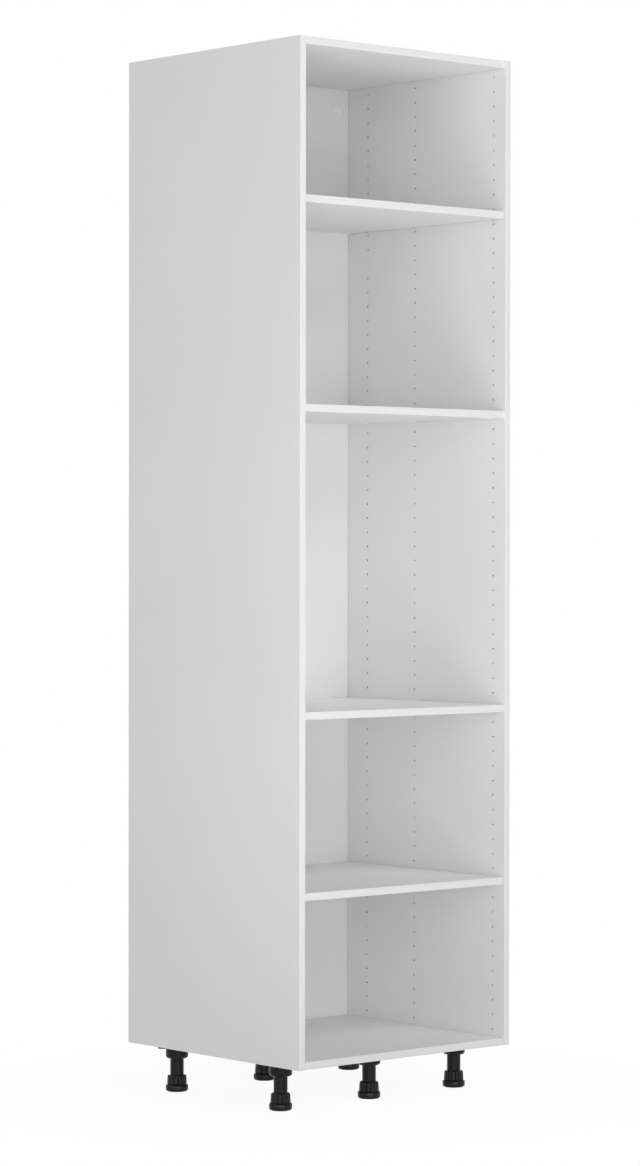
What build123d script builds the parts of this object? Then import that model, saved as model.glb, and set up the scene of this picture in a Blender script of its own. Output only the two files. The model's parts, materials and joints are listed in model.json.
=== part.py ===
from build123d import *

import os

# Tall kitchen cabinet, in millimetres. X runs across the front, Y from the front to the rear and Z up.
# The origin lies on the floor, under the middle of the cabinet.

# Carcass
width = 600.0
depth = 580.0
carcass_height = 2144.0
board = 16.0
foot_height = 100.0
front_setback = 4.0

# Edge bands, glued to the front edges
band = 1.0
band_bevel = 0.5

# Back panel, let into grooves in front of a service void
back_thickness = 8.0
void_depth = 59.5
groove_depth = 7.5
groove_play = 0.8
back_end_play = 0.5

# Rows of holes in the side panels
hole_diameter = 5.0
hole_depth = 13.0
hole_pitch = 32.0
hole_sides = 6
front_column_inset = 37.0
middle_column_step = 8
rear_column_step = 13
hinge_plate_row = 3

# Shelves, at shares of the number of rows or of the carcass's height
fixed_row_shares = {"lower": 0.343, "upper": 0.642}
lower_pin_row_share = 0.164
upper_pin_rise_share = 0.8405
loose_end_gap = 1.1
shelf_back_gap = 0.3

# Flattened pins under the loose shelves
pin_play = 0.1
pin_inset = 1.0
pin_reach = 9.0
pin_flat_drop = 1.0

# Connector fittings: a housing in a fixed shelf drops over a bolt in a side panel
connector_axis_inset = 9.0
housing_diameter = 20.0
housing_depth = 13.0
housing_end_inset = 9.5
housing_play = 0.1
housing_rim = 1.2
housing_sides = 12
bolt_neck_length = 4.0
bolt_head_diameter = 7.0
bolt_head_length = 3.0
slot_play = 0.2

# Dowels between the side panels and the top and bottom
dowel_diameter = 8.0
dowel_length = 30.0
dowel_in_side = 12.0
dowel_play = 0.1
dowel_end_play = 0.5
dowel_sides = 6
dowel_count = 4
dowel_front_inset = 58.0
dowel_rear_inset = 138.0

# Access caps in the back panel
cap_inset = 33.0
cap_drop = 64.0
cap_hole_diameter = 15.0
cap_hole_sides = 12
cap_play = 0.1
cap_flange_diameter = 17.5
cap_flange_thickness = 1.2
cap_plug_length = 6.0
cap_notch_width = 3.0
cap_notch_length = 7.5
cap_notch_depth = 0.7
cap_notch_turn = 135.0

# Hangers behind the caps
sheet = 2.0
hanger_height = 68.0
hanger_depth = 38.0
hanger_head_clearance = 0.5
hanger_tail = 9.0
hanger_fixing_rise = 25.0
hanger_fixing_length = 11.0
hanger_fixing_diameter = 5.0
hanger_fixing_head_diameter = 9.0
hanger_fixing_head_length = 2.5
hook_thickness = 4.0
hook_block_width = 12.0
hook_block_length = 20.0
hook_block_height = 20.0
hook_arm_height = 6.0
hook_gap = 8.0
hook_nose = 3.0
hook_nose_height = 14.0
hook_play = 0.3
screw_diameter = 6.0
screw_head_diameter = 10.0
screw_head_length = 3.5
screw_length = 29.0
screw_ring_length = 1.8
screw_play = 0.1
screw_sides = 8
screw_slot_width = 1.2
screw_slot_depth = 1.5

# Feet, three across and two deep
foot_side_inset = 52.0
foot_front_inset = 122.0
foot_rear_inset = 106.0
foot_sides = 16
round_share = 0.3

# Sockets under the bottom
cup_diameter = 49.0
cup_height = 28.0
cup_round = 6.0
cup_web = 5.0
flange_diameter = 66.0
flange_thickness = 3.5
flange_sides = 8
arm_reach = 50.0
arm_width = 24.0
foot_screw_circle = 57.6
foot_screw_diameter = 3.6
foot_screw_length = 15.5
foot_screw_head_diameter = 6.6
foot_screw_head_length = 2.0
foot_screw_play = 0.2
foot_screw_sides = 6

# Tubes
tube_diameter = 29.6
tube_play = 0.2
tube_bottom = 24.0

# Fluted sleeves with their spindles
sleeve_bottom_diameter = 43.0
sleeve_top_diameter = 41.0
sleeve_height = 21.5
sleeve_shoulder = 4.2
sleeve_lip = 0.8
sleeve_web = 3.2
flute_count = 12
flute_depth = 1.2
spindle_diameter = 20.0
spindle_play = 0.2
spindle_height = 46.5
spindle_sides = 6

# Pads
pad_diameter = 49.0
pad_height = 15.0
pad_round = 5.0
pad_bevel = 1.6
pad_floor = 8.7
spigot_diameter = 24.0
spigot_play = 0.2
seam = 0.3

# One overrun for every cut that passes a face
overrun = 1.0

# Places that several pieces share
inner_x = width / 2 - board
front_y = -depth / 2
rear_y = depth / 2
board_front_y = front_y + front_setback
back_front_y = rear_y - void_depth
back_rear_y = back_front_y + back_thickness
carcass_top = foot_height + carcass_height
row_count = round((carcass_height - board / 2) / hole_pitch)
column_steps = (0, middle_column_step, rear_column_step)
columns = [front_y + front_column_inset + step * hole_pitch for step in column_steps]
hanger_x = inner_x - cap_inset
hanger_z = carcass_top - cap_drop
flange_y = back_rear_y + hanger_head_clearance + screw_head_length + screw_play
hook_y = flange_y + sheet + screw_ring_length + 2 * screw_play + hook_play
feet = {
    row + "_" + column: (x, y, turn)
    for row, y in (("front", front_y + foot_front_inset), ("rear", rear_y - foot_rear_inset))
    for column, x, turn in (
        ("left", foot_side_inset - width / 2, 180),
        ("middle", 0, 90),
        ("right", width / 2 - foot_side_inset, 0),
    )
}


# Directions of the screws round a socket, from the one in its arm
screw_turns = (0, 90, 180, 270)


def row_height(row):
    """Height above the floor of a row of holes."""
    return foot_height + row * hole_pitch


fixed_rows = {name: round(share * row_count) for name, share in fixed_row_shares.items()}
fixed_undersides = {name: row_height(row) - connector_axis_inset for name, row in fixed_rows.items()}
pin_heights = {
    "lower": row_height(round(lower_pin_row_share * row_count)),
    "upper": foot_height + carcass_height * upper_pin_rise_share,
}
dowel_step = (depth - dowel_front_inset - dowel_rear_inset) / (dowel_count - 1)
dowel_ys = [front_y + dowel_front_inset + n * dowel_step for n in range(dowel_count)]
dowel_heights = (foot_height + board / 2, carcass_top - board / 2)


def block(x, y, z):
    """Box between two limits on each axis."""
    size = [high - low for low, high in (x, y, z)]
    middle = [(high + low) / 2 for low, high in (x, y, z)]
    return Pos(*middle) * Box(*size)


def bar(diameter, sides, length):
    """Many-sided bar that starts at the origin and runs along X, with flat faces above and below."""
    return extrude(Plane.YZ * RegularPolygon(diameter / 2, sides, rotation=90 + 180 / sides), length)


def opening(diameter, sides, length):
    """Many-sided hole that starts at the origin and runs along X, whose flat faces clear a round bar."""
    outline = RegularPolygon(diameter / 2, sides, major_radius=False, rotation=90 + 180 / sides)
    return extrude(Plane.YZ * outline, length)


def drilled(diameter, length):
    """Round hole that starts at the origin and runs along X."""
    return extrude(Plane.YZ * Circle(diameter / 2), length)


def stepped(sides, levels):
    """Many-sided upright solid that follows a profile of radius and height."""
    sections = [Pos(0, 0, height) * RegularPolygon(radius, sides) for radius, height in levels]
    return loft(sections, ruled=True)


def well(radius, sides, low, high):
    """Many-sided upright hole whose flat faces clear a round bar."""
    return Pos(0, 0, low) * extrude(RegularPolygon(radius, sides, major_radius=False), high - low)


def at_side(side, y, z):
    """Place on a side panel's inner face, with X pointing into the panel."""
    return Pos(side * inner_x, y, z) * Rot(0, 0, 0 if side > 0 else 180)


# Side panels


def hole_spots():
    """Column and height of every small hole, and whether it is a round one for a hinge plate."""
    top_row = row_count - hinge_plate_row
    hinge_rows = (hinge_plate_row, hinge_plate_row + 1, top_row - 1, top_row)
    for row in range(1, row_count):
        for column in columns:
            yield column, row_height(row), column == columns[0] and row in hinge_rows
    for column in columns:
        yield column, pin_heights["upper"], False


def side_panel(side):
    """Side panel with its rows of holes, its groove, its dowel holes and the holes of its hanger."""
    panel = block(
        sorted((side * inner_x, side * width / 2)), (front_y + band, rear_y), (foot_height, carcass_top)
    )
    groove_front = back_front_y - groove_play
    panel -= block(
        sorted((side * (inner_x - overrun), side * (inner_x + groove_depth))),
        (groove_front, back_rear_y),
        (foot_height - overrun, carcass_top + overrun),
    )
    tools = []
    for y, z, is_round in hole_spots():
        hole = drilled(hole_diameter, hole_depth) if is_round else bar(hole_diameter, hole_sides, hole_depth)
        tools.append(at_side(side, y, z) * hole)
    dowel_hole = opening(dowel_diameter, dowel_sides, dowel_in_side + dowel_end_play)
    tools += [at_side(side, y, z) * dowel_hole for y in dowel_ys for z in dowel_heights]
    fixing_hole = bar(hanger_fixing_diameter + 2 * pin_play, hole_sides, hanger_fixing_length)
    tools += [at_side(side, y, z) * fixing_hole for y, z in hanger_fixings()]
    return panel - tools


def hanger_fixings():
    """Places of the two screws that hold a hanger's case to its side panel."""
    y = flange_y + hanger_depth / 2
    return [(y, hanger_z - hanger_fixing_rise), (y, hanger_z + hanger_fixing_rise)]


def side_band(side):
    """Edge band on the front edge of a side panel."""
    span = sorted((side * inner_x, side * width / 2))
    return bevelled(block(span, (front_y, front_y + band), (foot_height, carcass_top)))


def bevelled(strip):
    """Edge band with its two long front edges bevelled."""
    longest = max(strip.bounding_box().size.X, strip.bounding_box().size.Z)
    edges = [edge for edge in strip.edges().group_by(Axis.Y)[0] if edge.length > longest - overrun]
    return chamfer(edges, band_bevel)


# Boards between the side panels


def joints():
    """Sides and columns at which a board meets the side panels."""
    return [(side, column) for side in (-1, 1) for column in columns]


def at_connector(side, y, underside):
    """Place of a connector under a shelf, with X into the side panel and Z into the shelf."""
    return Pos(side * inner_x, y, underside) * Rot(0, 0, 0 if side > 0 else 180)


def housing_disc(diameter, height):
    """Disc of a connector, beside the end of the shelf."""
    outline = RegularPolygon(diameter / 2, housing_sides, rotation=180 / housing_sides)
    return Pos(-housing_end_inset, 0, 0) * extrude(outline, height)


def connector_pocket():
    """Pocket that a connector housing is pressed into."""
    return Pos(0, 0, -overrun) * housing_disc(housing_diameter, housing_depth + overrun)


def connector_housing():
    """Housing with a rim under the shelf and a slot that drops over a bolt's neck and head."""
    height = housing_depth - housing_play
    body = Pos(0, 0, -housing_rim) * housing_disc(housing_diameter - 2 * housing_play, height + housing_rim)
    body &= block((-housing_diameter, 0), (-housing_diameter, housing_diameter), (-housing_rim, height))
    neck = hole_diameter / 2 + slot_play
    head = bolt_head_diameter / 2 + slot_play
    top = connector_axis_inset + head
    middle = slot_play - bolt_neck_length
    low = -housing_rim - overrun
    body -= block((middle, overrun), (-neck, neck), (low, top))
    return body - block((middle - bolt_head_length - 2 * slot_play, middle), (-head, head), (low, top))


def connector_bolt():
    """Bolt with its threaded end in the side panel and its neck and head in a housing."""
    reach = bolt_neck_length + bolt_head_length
    shank = Pos(-reach, 0, 0) * bar(hole_diameter - 2 * pin_play, hole_sides, reach + hole_depth - pin_inset)
    return shank + Pos(-reach, 0, 0) * bar(bolt_head_diameter, hole_sides, bolt_head_length)


def cross_board(underside, back_limit):
    """Board between the side panels, without its edge band."""
    return block((-inner_x, inner_x), (board_front_y + band, back_limit), (underside, underside + board))


def cross_band(underside, reach):
    """Edge band on the front edge of a board between the side panels."""
    span = (board_front_y, board_front_y + band)
    return bevelled(block((-reach, reach), span, (underside, underside + board)))


def end_board(underside, up):
    """Top or bottom, grooved for the back panel and with dowel holes in its ends."""
    inner_face = underside + board if up else underside
    plate = cross_board(underside, rear_y)
    inwards = 1 if up else -1
    plate -= block(
        (-inner_x - overrun, inner_x + overrun),
        (back_front_y - groove_play, back_rear_y),
        sorted((inner_face + inwards * overrun, inner_face - inwards * groove_depth)),
    )
    length = dowel_length - dowel_in_side + dowel_end_play
    hole = Pos(-length, 0, 0) * opening(dowel_diameter, dowel_sides, length)
    return plate - [at_side(side, y, underside + board / 2) * hole for side in (-1, 1) for y in dowel_ys]


def bottom_panel():
    """Bottom with pilot holes for the screws of the feet."""
    depth_in = foot_screw_length - flange_thickness + foot_screw_play
    pilot = extrude(RegularPolygon(foot_screw_diameter / 2, foot_screw_sides), depth_in)
    return end_board(foot_height, True) - [Pos(x, y, foot_height) * pilot for x, y in foot_screw_spots()]


def fixed_shelf(underside):
    """Fixed shelf with connectors let into its underside."""
    plate = cross_board(underside, back_front_y - shelf_back_gap)
    return plate - [at_connector(side, y, underside) * connector_pocket() for side, y in joints()]


def housings(underside):
    """The six connector housings of a fixed shelf."""
    housing = connector_housing()
    return Compound([at_connector(side, y, underside) * housing for side, y in joints()])


def bolts(underside):
    """The six connector bolts of a fixed shelf."""
    bolt = connector_bolt()
    return Compound([at_side(side, y, underside + connector_axis_inset) * bolt for side, y in joints()])


def dowels():
    """Dowels between the side panels and the top and bottom."""
    length = dowel_length
    dowel = Pos(dowel_in_side - length, 0, 0) * bar(dowel_diameter - 2 * dowel_play, dowel_sides, length)
    spots = [(side, y, z) for side in (-1, 1) for y in dowel_ys for z in dowel_heights]
    return Compound([at_side(*spot) * dowel for spot in spots])


# Loose shelves and their pins


def loose_shelf(pin_height):
    """Loose shelf that lies on its pins with a gap at each end."""
    reach = inner_x - loose_end_gap
    underside = pin_height - pin_flat_drop
    span = (board_front_y + band, back_front_y - shelf_back_gap)
    return block((-reach, reach), span, (underside, underside + board))


def shelf_pins(pin_height):
    """Pins with a flattened end for a loose shelf."""
    length = pin_reach + hole_depth - pin_inset
    pin = Pos(-pin_reach, 0, 0) * bar(hole_diameter - 2 * pin_play, hole_sides, length)
    pin -= block((-pin_reach - overrun, 0), (-hole_diameter, hole_diameter), (-pin_flat_drop, hole_diameter))
    return Compound([at_side(side, y, pin_height) * pin for side, y in joints()])


# Back panel and its access caps


def back_panel():
    """Back panel with the access holes of the two hangers."""
    reach = inner_x + groove_depth - back_end_play
    low = foot_height + board - groove_depth + back_end_play
    high = carcass_top - board + groove_depth - back_end_play
    panel = block((-reach, reach), (back_front_y, back_rear_y), (low, high))
    hole = Rot(0, 0, 90) * opening(cap_hole_diameter, cap_hole_sides, back_thickness + 2 * overrun)
    return panel - [Pos(side * hanger_x, back_front_y - overrun, hanger_z) * hole for side in (-1, 1)]


def access_cap(side):
    """Cap with a plug, a round flange and a notch to prise it out."""
    flange = cap_flange_diameter / 2
    cap = extrude(Circle(flange), -cap_flange_thickness)
    cap += extrude(RegularPolygon(cap_hole_diameter / 2 - cap_play, cap_hole_sides), cap_plug_length)
    notch = block(
        (flange - cap_notch_length, flange + overrun),
        (-cap_notch_width / 2, cap_notch_width / 2),
        (-cap_flange_thickness - overrun, cap_notch_depth - cap_flange_thickness),
    )
    cap -= Rot(0, 0, cap_notch_turn) * notch
    return Pos(side * hanger_x, back_front_y, hanger_z) * Rot(-90, 0, 0) * cap


# Hangers, drawn for the right side panel


def screw_hole(start, length):
    """Hole along Y that clears a hanger's screw."""
    hole = opening(screw_diameter + 2 * screw_play, screw_sides, length + 2 * overrun)
    return Pos(hanger_x, start - overrun, hanger_z) * Rot(0, 0, 90) * hole


def hanger_case():
    """Pressed case: a plate on the side panel, a front flange for the screw and two guides for the hook."""
    half = hook_block_height / 2 + hook_play
    reach = (hanger_x - hanger_tail, inner_x)
    span = (flange_y, flange_y + hanger_depth)
    heights = (hanger_z - hanger_height / 2, hanger_z + hanger_height / 2)
    case = block((inner_x - sheet, inner_x), span, heights)
    case += block(reach, (flange_y, flange_y + sheet), (hanger_z - half - sheet, hanger_z + half + sheet))
    for sign in (-1, 1):
        case += block(reach, span, sorted((hanger_z + sign * half, hanger_z + sign * (half + sheet))))
    case -= screw_hole(flange_y, sheet)
    hole = opening(hanger_fixing_diameter + 2 * pin_play, hole_sides, sheet + 2 * overrun)
    return case - [at_side(1, y, z) * Pos(-sheet - overrun, 0, 0) * hole for y, z in hanger_fixings()]


def hanger_hook():
    """Threaded block with an arm and a nose that drops behind a wall plate."""
    half = hook_block_height / 2
    rear = hook_y + hook_block_length
    tip = rear + hook_gap + hook_nose
    arm_low = half - hook_arm_height
    edge = hook_thickness / 2
    hook = block((-hook_block_width / 2, hook_block_width / 2), (hook_y, rear), (-half, half))
    hook += block((-edge, edge), (rear, tip), (arm_low, half))
    hook += block((-edge, edge), (tip - hook_nose, tip), (half - hook_nose_height, arm_low))
    return Pos(hanger_x, 0, hanger_z) * hook - screw_hole(hook_y, hook_block_length)


def hanger_screw():
    """Screw held in the case's front flange, with a driver slot facing the access hole."""
    head_length = screw_head_length
    screw = Pos(-head_length - screw_play, 0, 0) * bar(screw_head_diameter, screw_sides, head_length)
    screw += Pos(sheet + screw_play, 0, 0) * bar(screw_head_diameter, screw_sides, screw_ring_length)
    screw += Pos(-head_length, 0, 0) * bar(screw_diameter, screw_sides, head_length + screw_length)
    screw -= block(
        (-head_length - screw_play - overrun, screw_slot_depth - head_length - screw_play),
        (-screw_head_diameter, screw_head_diameter),
        (-screw_slot_width / 2, screw_slot_width / 2),
    )
    return Pos(hanger_x, flange_y, hanger_z) * Rot(0, 0, 90) * screw


def hanger_fixing_screws():
    """Screws that hold the hanger cases to the side panels."""
    back = sheet + hanger_fixing_head_length
    screw = Pos(-back, 0, 0) * bar(hanger_fixing_head_diameter, hole_sides, hanger_fixing_head_length)
    length = sheet + hanger_fixing_length - pin_inset
    screw += Pos(-sheet, 0, 0) * bar(hanger_fixing_diameter, hole_sides, length)
    return Compound([at_side(side, y, z) * screw for side in (-1, 1) for y, z in hanger_fixings()])


# Feet, drawn on the origin


def foot_socket():
    """Socket with a rounded cup for the tube, a flange and an arm that reaches under the side panel."""
    cup = cup_diameter / 2
    low = foot_height - cup_height
    flange_low = foot_height - flange_thickness
    corner = (cup - cup_round * round_share, low + cup_round * round_share)
    levels = [(cup - cup_round, low), corner, (cup, low + cup_round), (cup, foot_height)]
    flange = extrude(RegularPolygon(flange_diameter / 2, flange_sides), flange_thickness)
    socket = stepped(foot_sides, levels) + Pos(0, 0, flange_low) * flange
    socket += block((0, arm_reach), (-arm_width / 2, arm_width / 2), (flange_low, foot_height))
    socket -= well(tube_diameter / 2 + tube_play, flute_count, low - overrun, foot_height - cup_web)
    radius = foot_screw_diameter / 2 + foot_screw_play
    hole = well(radius, foot_screw_sides, flange_low - overrun, foot_height + overrun)
    return socket - [Rot(0, 0, turn) * Pos(foot_screw_circle / 2, 0, 0) * hole for turn in screw_turns]


def foot_screw_spots():
    """Places of the screws of all the sockets."""
    spots = []
    for x, y, turn in feet.values():
        for screw_turn in screw_turns:
            place = Pos(x, y, 0) * Rot(0, 0, turn + screw_turn) * Pos(foot_screw_circle / 2, 0, 0)
            spots.append((place.position.X, place.position.Y))
    return spots


def foot_screws():
    """Screws that hold the sockets to the bottom."""
    length = foot_screw_head_length + foot_screw_length
    screw = extrude(RegularPolygon(foot_screw_head_diameter / 2, foot_screw_sides), foot_screw_head_length)
    screw += extrude(RegularPolygon(foot_screw_diameter / 2, foot_screw_sides), length)
    head_low = foot_height - flange_thickness - foot_screw_head_length
    return Compound([Pos(x, y, head_low) * screw for x, y in foot_screw_spots()])


def foot_tube():
    """Tube whose bore is the nut of the spindle."""
    top = foot_height - cup_web - seam
    tube = stepped(foot_sides, [(tube_diameter / 2, tube_bottom), (tube_diameter / 2, top)])
    bore = spindle_diameter / 2 + spindle_play
    return tube - well(bore, spindle_sides, tube_bottom - overrun, top + overrun)


def fluted(diameter, height):
    """Outline of the sleeve's grip, with a valley between each two crests."""
    crest = Vector(diameter / 2, 0, height)
    valley = Vector(diameter / 2 - flute_depth, 0, height)
    step = 180 / flute_count
    corners = []
    for n in range(flute_count):
        corners.append(crest.rotate(Axis.Z, 2 * n * step))
        corners.append(valley.rotate(Axis.Z, (2 * n + 1) * step))
    return make_face(Polyline(corners, close=True))


def foot_sleeve():
    """Fluted sleeve that is turned by hand, with a spindle up the tube and a round spigot in the pad."""
    low = pad_height + seam
    high = low + sleeve_height
    shoulder = high - sleeve_shoulder
    bore = tube_diameter / 2 + tube_play
    rim = RegularPolygon(bore, flute_count, major_radius=False).radius + sleeve_lip
    sleeve = loft([fluted(sleeve_bottom_diameter, low), fluted(sleeve_top_diameter, shoulder)], ruled=True)
    sleeve += stepped(flute_count, [(sleeve_top_diameter / 2 - flute_depth, shoulder), (rim, high)])
    sleeve -= well(bore, flute_count, low + sleeve_web, high + overrun)
    sleeve += Pos(0, 0, low) * extrude(RegularPolygon(spindle_diameter / 2, spindle_sides), spindle_height)
    spigot_low = pad_floor + seam
    return sleeve + Pos(0, 0, spigot_low) * extrude(Circle(spigot_diameter / 2), low - spigot_low)


def foot_pad():
    """Pad that stays still on the floor while the sleeve turns in it."""
    outer = pad_diameter / 2
    corner = (outer - pad_round * round_share, pad_round * round_share)
    top = [(outer, pad_height - pad_bevel), (outer - pad_bevel, pad_height)]
    pad = stepped(foot_sides, [(outer - pad_round, 0), corner, (outer, pad_round)] + top)
    return pad - well(spigot_diameter / 2 + spigot_play, flute_count, pad_floor, pad_height + overrun)


def build():
    """All nodes by name."""
    parts = {"back_panel": back_panel(), "bottom_panel": bottom_panel(), "dowels": dowels()}
    parts["top_panel"] = end_board(carcass_top - board, False)
    for name, underside in fixed_undersides.items():
        parts["fixed_shelf_" + name] = fixed_shelf(underside)
        parts["edge_band_fixed_shelf_" + name] = cross_band(underside, inner_x)
        parts["connector_housings_" + name] = housings(underside)
        parts["connector_bolts_" + name] = bolts(underside)
    parts["edge_band_bottom"] = cross_band(foot_height, inner_x)
    parts["edge_band_top"] = cross_band(carcass_top - board, inner_x)
    for name, height in pin_heights.items():
        parts["loose_shelf_" + name] = loose_shelf(height)
        parts["edge_band_loose_shelf_" + name] = cross_band(height - pin_flat_drop, inner_x - loose_end_gap)
        parts["shelf_pins_" + name] = shelf_pins(height)
    hangers = {"case": hanger_case(), "hook": hanger_hook(), "screw": hanger_screw()}
    for name, side in (("left", -1), ("right", 1)):
        parts["side_panel_" + name] = side_panel(side)
        parts["edge_band_" + name] = side_band(side)
        parts["access_cap_" + name] = access_cap(side)
        for piece, solid in hangers.items():
            parts["hanger_" + piece + "_" + name] = solid if side > 0 else mirror(solid, about=Plane.YZ)
    parts["hanger_fixing_screws"] = hanger_fixing_screws()
    foot = {"socket": foot_socket(), "tube": foot_tube(), "sleeve": foot_sleeve(), "pad": foot_pad()}
    for name, (x, y, turn) in feet.items():
        for piece, solid in foot.items():
            parts["foot_" + piece + "_" + name] = Pos(x, y, 0) * Rot(0, 0, turn) * solid
    parts["foot_screws"] = foot_screws()
    return parts


os.makedirs("parts", exist_ok=True)
for node, solid in build().items():
    export_step(solid, "parts/" + node + ".step")
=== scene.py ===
import json
import logging
import math
from collections.abc import Callable, Iterator, Sequence
from contextlib import contextmanager
from dataclasses import dataclass
from enum import Enum
from typing import ClassVar

import bmesh
import bpy
from bpy.types import Material, Mesh, Node, NodeOutputs, NodeSocket, NodeTree, Object
from mathutils import Matrix, Vector


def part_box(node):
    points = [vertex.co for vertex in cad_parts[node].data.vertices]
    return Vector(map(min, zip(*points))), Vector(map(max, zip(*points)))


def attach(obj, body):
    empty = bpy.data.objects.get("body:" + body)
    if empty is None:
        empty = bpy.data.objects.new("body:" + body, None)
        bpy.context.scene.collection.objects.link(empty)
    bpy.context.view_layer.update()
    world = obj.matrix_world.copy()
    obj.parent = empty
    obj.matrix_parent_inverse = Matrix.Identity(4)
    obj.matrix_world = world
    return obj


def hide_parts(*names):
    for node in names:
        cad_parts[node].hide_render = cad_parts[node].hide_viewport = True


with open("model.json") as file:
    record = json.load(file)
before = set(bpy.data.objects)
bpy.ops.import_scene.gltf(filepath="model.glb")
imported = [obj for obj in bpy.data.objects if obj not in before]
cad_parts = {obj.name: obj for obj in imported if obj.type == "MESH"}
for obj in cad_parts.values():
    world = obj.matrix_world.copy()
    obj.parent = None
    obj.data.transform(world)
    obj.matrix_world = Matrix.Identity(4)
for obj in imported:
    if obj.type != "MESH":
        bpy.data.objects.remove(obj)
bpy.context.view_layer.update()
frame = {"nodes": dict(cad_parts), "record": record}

# Dresses a tall kitchen cabinet: coated boards with rows of holes, edge bands, fittings, hangers and feet.
# Metres; X runs across the front, Y from the front to the rear and Z up from the floor.

LOG = logging.getLogger("cabinet")
BODIES = frame["record"]["behaviour"]["bodies"]
BODY_OF = {node: body for body, nodes in BODIES.items() for node in nodes}
SIDES = {"left": -1, "right": 1}
COLUMN_YS = (0.163, 0.003, -0.253)
HOLE_PITCH = 0.032
HOLE_RADIUS = 0.0025
HOLE_DEPTH = 0.013
HOLE_LIP = 0.00012
HOLE_SEGMENTS = 16
CUT_SEGMENTS = 40
FITTING_SEGMENTS = 20
GROOVE_PLAY = 0.0008
GROOVE_DEPTH = 0.0075
PIN_DROP = 0.001
CASE_SHEET = 0.002
OVERRUN = 0.001
MERGE = 3e-6
NOISE_SPAN = {"From Min": 0.3, "From Max": 0.7}
SMOOTH_ANGLE = math.radians(32)
BEVEL_ANGLE = math.radians(40)
FORWARDS = Matrix.Rotation(-math.pi / 2, 4, "X")

Colour = tuple[float, float, float]
Place = Callable[[float, float, float], Vector]
Points = Sequence[tuple[float, float]]


# Node trees


class NodeSheet:
    """Adds and joins the nodes of one shader or geometry tree."""

    def __init__(self, tree: NodeTree) -> None:
        """Takes the tree that the nodes go into."""
        self.tree = tree

    def socket(self, name: str, kind: str, value: object = None, output: bool = False) -> None:
        """Adds a named socket to the tree.

        Args:
            name: The socket's name.
            kind: Its type without the leading NodeSocket.
            value: What it holds until something is linked to it.
            output: Whether it comes out of the tree.
        """
        way = "OUTPUT" if output else "INPUT"
        item = self.tree.interface.new_socket(name, in_out=way, socket_type="NodeSocket" + kind)
        if value is not None:
            item.default_value = value

    def add(self, kind: str, inputs: dict | None = None, **settings: object) -> Node:
        """Adds a node.

        Args:
            kind: The node's type.
            inputs: A value, or a socket to link from, for each input by name or number.
            settings: Properties that are set before the inputs.

        Returns:
            The new node.
        """
        node = self.tree.nodes.new(kind)
        for name, value in settings.items():
            setattr(node, name, value)
        for name, value in (inputs or {}).items():
            if isinstance(value, NodeSocket):
                self.tree.links.new(value, node.inputs[name])
            else:
                node.inputs[name].default_value = value
        return node

    def math(self, operation: str, first: object, second: object = 0.0) -> NodeSocket:
        """Adds one step of arithmetic and returns its result."""
        return self.add("ShaderNodeMath", {0: first, 1: second}, operation=operation).outputs[0]

    def blend(self, share: object, low: object, high: object) -> NodeSocket:
        """Mixes two colours and returns the result; a mix of colours has its own numbers of sockets."""
        return self.add("ShaderNodeMix", {0: share, 6: low, 7: high}, data_type="RGBA").outputs[2]

    def scaled(self, vector: object, share: object) -> NodeSocket:
        """Scales a vector or a colour and returns the result."""
        return self.add("ShaderNodeVectorMath", {0: vector, "Scale": share}, operation="SCALE").outputs[0]

    def noise(self, place: object, scale: object, detail: float = 2.0, **more: float) -> NodeOutputs:
        """Adds a noise and returns its outputs; more settings go by the names of its inputs."""
        named = {name.capitalize(): value for name, value in more.items()}
        inputs = {"Vector": place, "Scale": scale, "Detail": detail} | named
        return self.add("ShaderNodeTexNoise", inputs).outputs

    def spread(self, value: object, low: object, high: object) -> NodeSocket:
        """Maps the middle of a noise's span to the span from low to high and returns it."""
        inputs = {"Value": value, "To Min": low, "To Max": high}
        return self.add("ShaderNodeMapRange", NOISE_SPAN | inputs).outputs[0]

    def attribute(self, name: object, kind: str) -> NodeSocket:
        """Reads a named attribute and returns it."""
        return self.add("GeometryNodeInputNamedAttribute", {"Name": name}, data_type=kind).outputs[0]

    def finished(self, geometry: object, material: object) -> NodeSocket:
        """Makes instances real, sets their material and returns them."""
        real = self.add("GeometryNodeRealizeInstances", {0: geometry}).outputs[0]
        return self.add("GeometryNodeSetMaterial", {"Geometry": real, "Material": material}).outputs[0]


# Effects that several finishes share


class Effect:
    """A shader node group that is drawn once and placed in each finish with its own values."""

    title = "effect"
    inputs: tuple[tuple, ...] = ()
    outputs: tuple[tuple[str, str], ...] = ()

    def draw(self, sheet: NodeSheet, given: NodeOutputs) -> dict[str, object]:
        """Draws the group's inside.

        Args:
            sheet: Where the nodes go.
            given: The group's own inputs.

        Returns:
            The socket that feeds each output.
        """
        raise NotImplementedError

    def place(self, sheet: NodeSheet, values: dict[str, object]) -> NodeOutputs:
        """Places the group in a material.

        Args:
            sheet: The material's nodes.
            values: The group's inputs by name.

        Returns:
            The group's outputs.
        """
        tree = bpy.data.node_groups.get(self.title)
        if tree is None:
            tree = bpy.data.node_groups.new(self.title, "ShaderNodeTree")
            inside = NodeSheet(tree)
            for item in self.inputs:
                inside.socket(*item)
            for item in self.outputs:
                inside.socket(*item, output=True)
            inside.add("NodeGroupOutput", self.draw(inside, inside.add("NodeGroupInput").outputs))
        return sheet.add("ShaderNodeGroup", values, node_tree=tree).outputs


def object_place(sheet: NodeSheet) -> NodeSocket:
    """The point on the object, in metres."""
    return sheet.add("ShaderNodeTexCoord").outputs["Object"]


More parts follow.
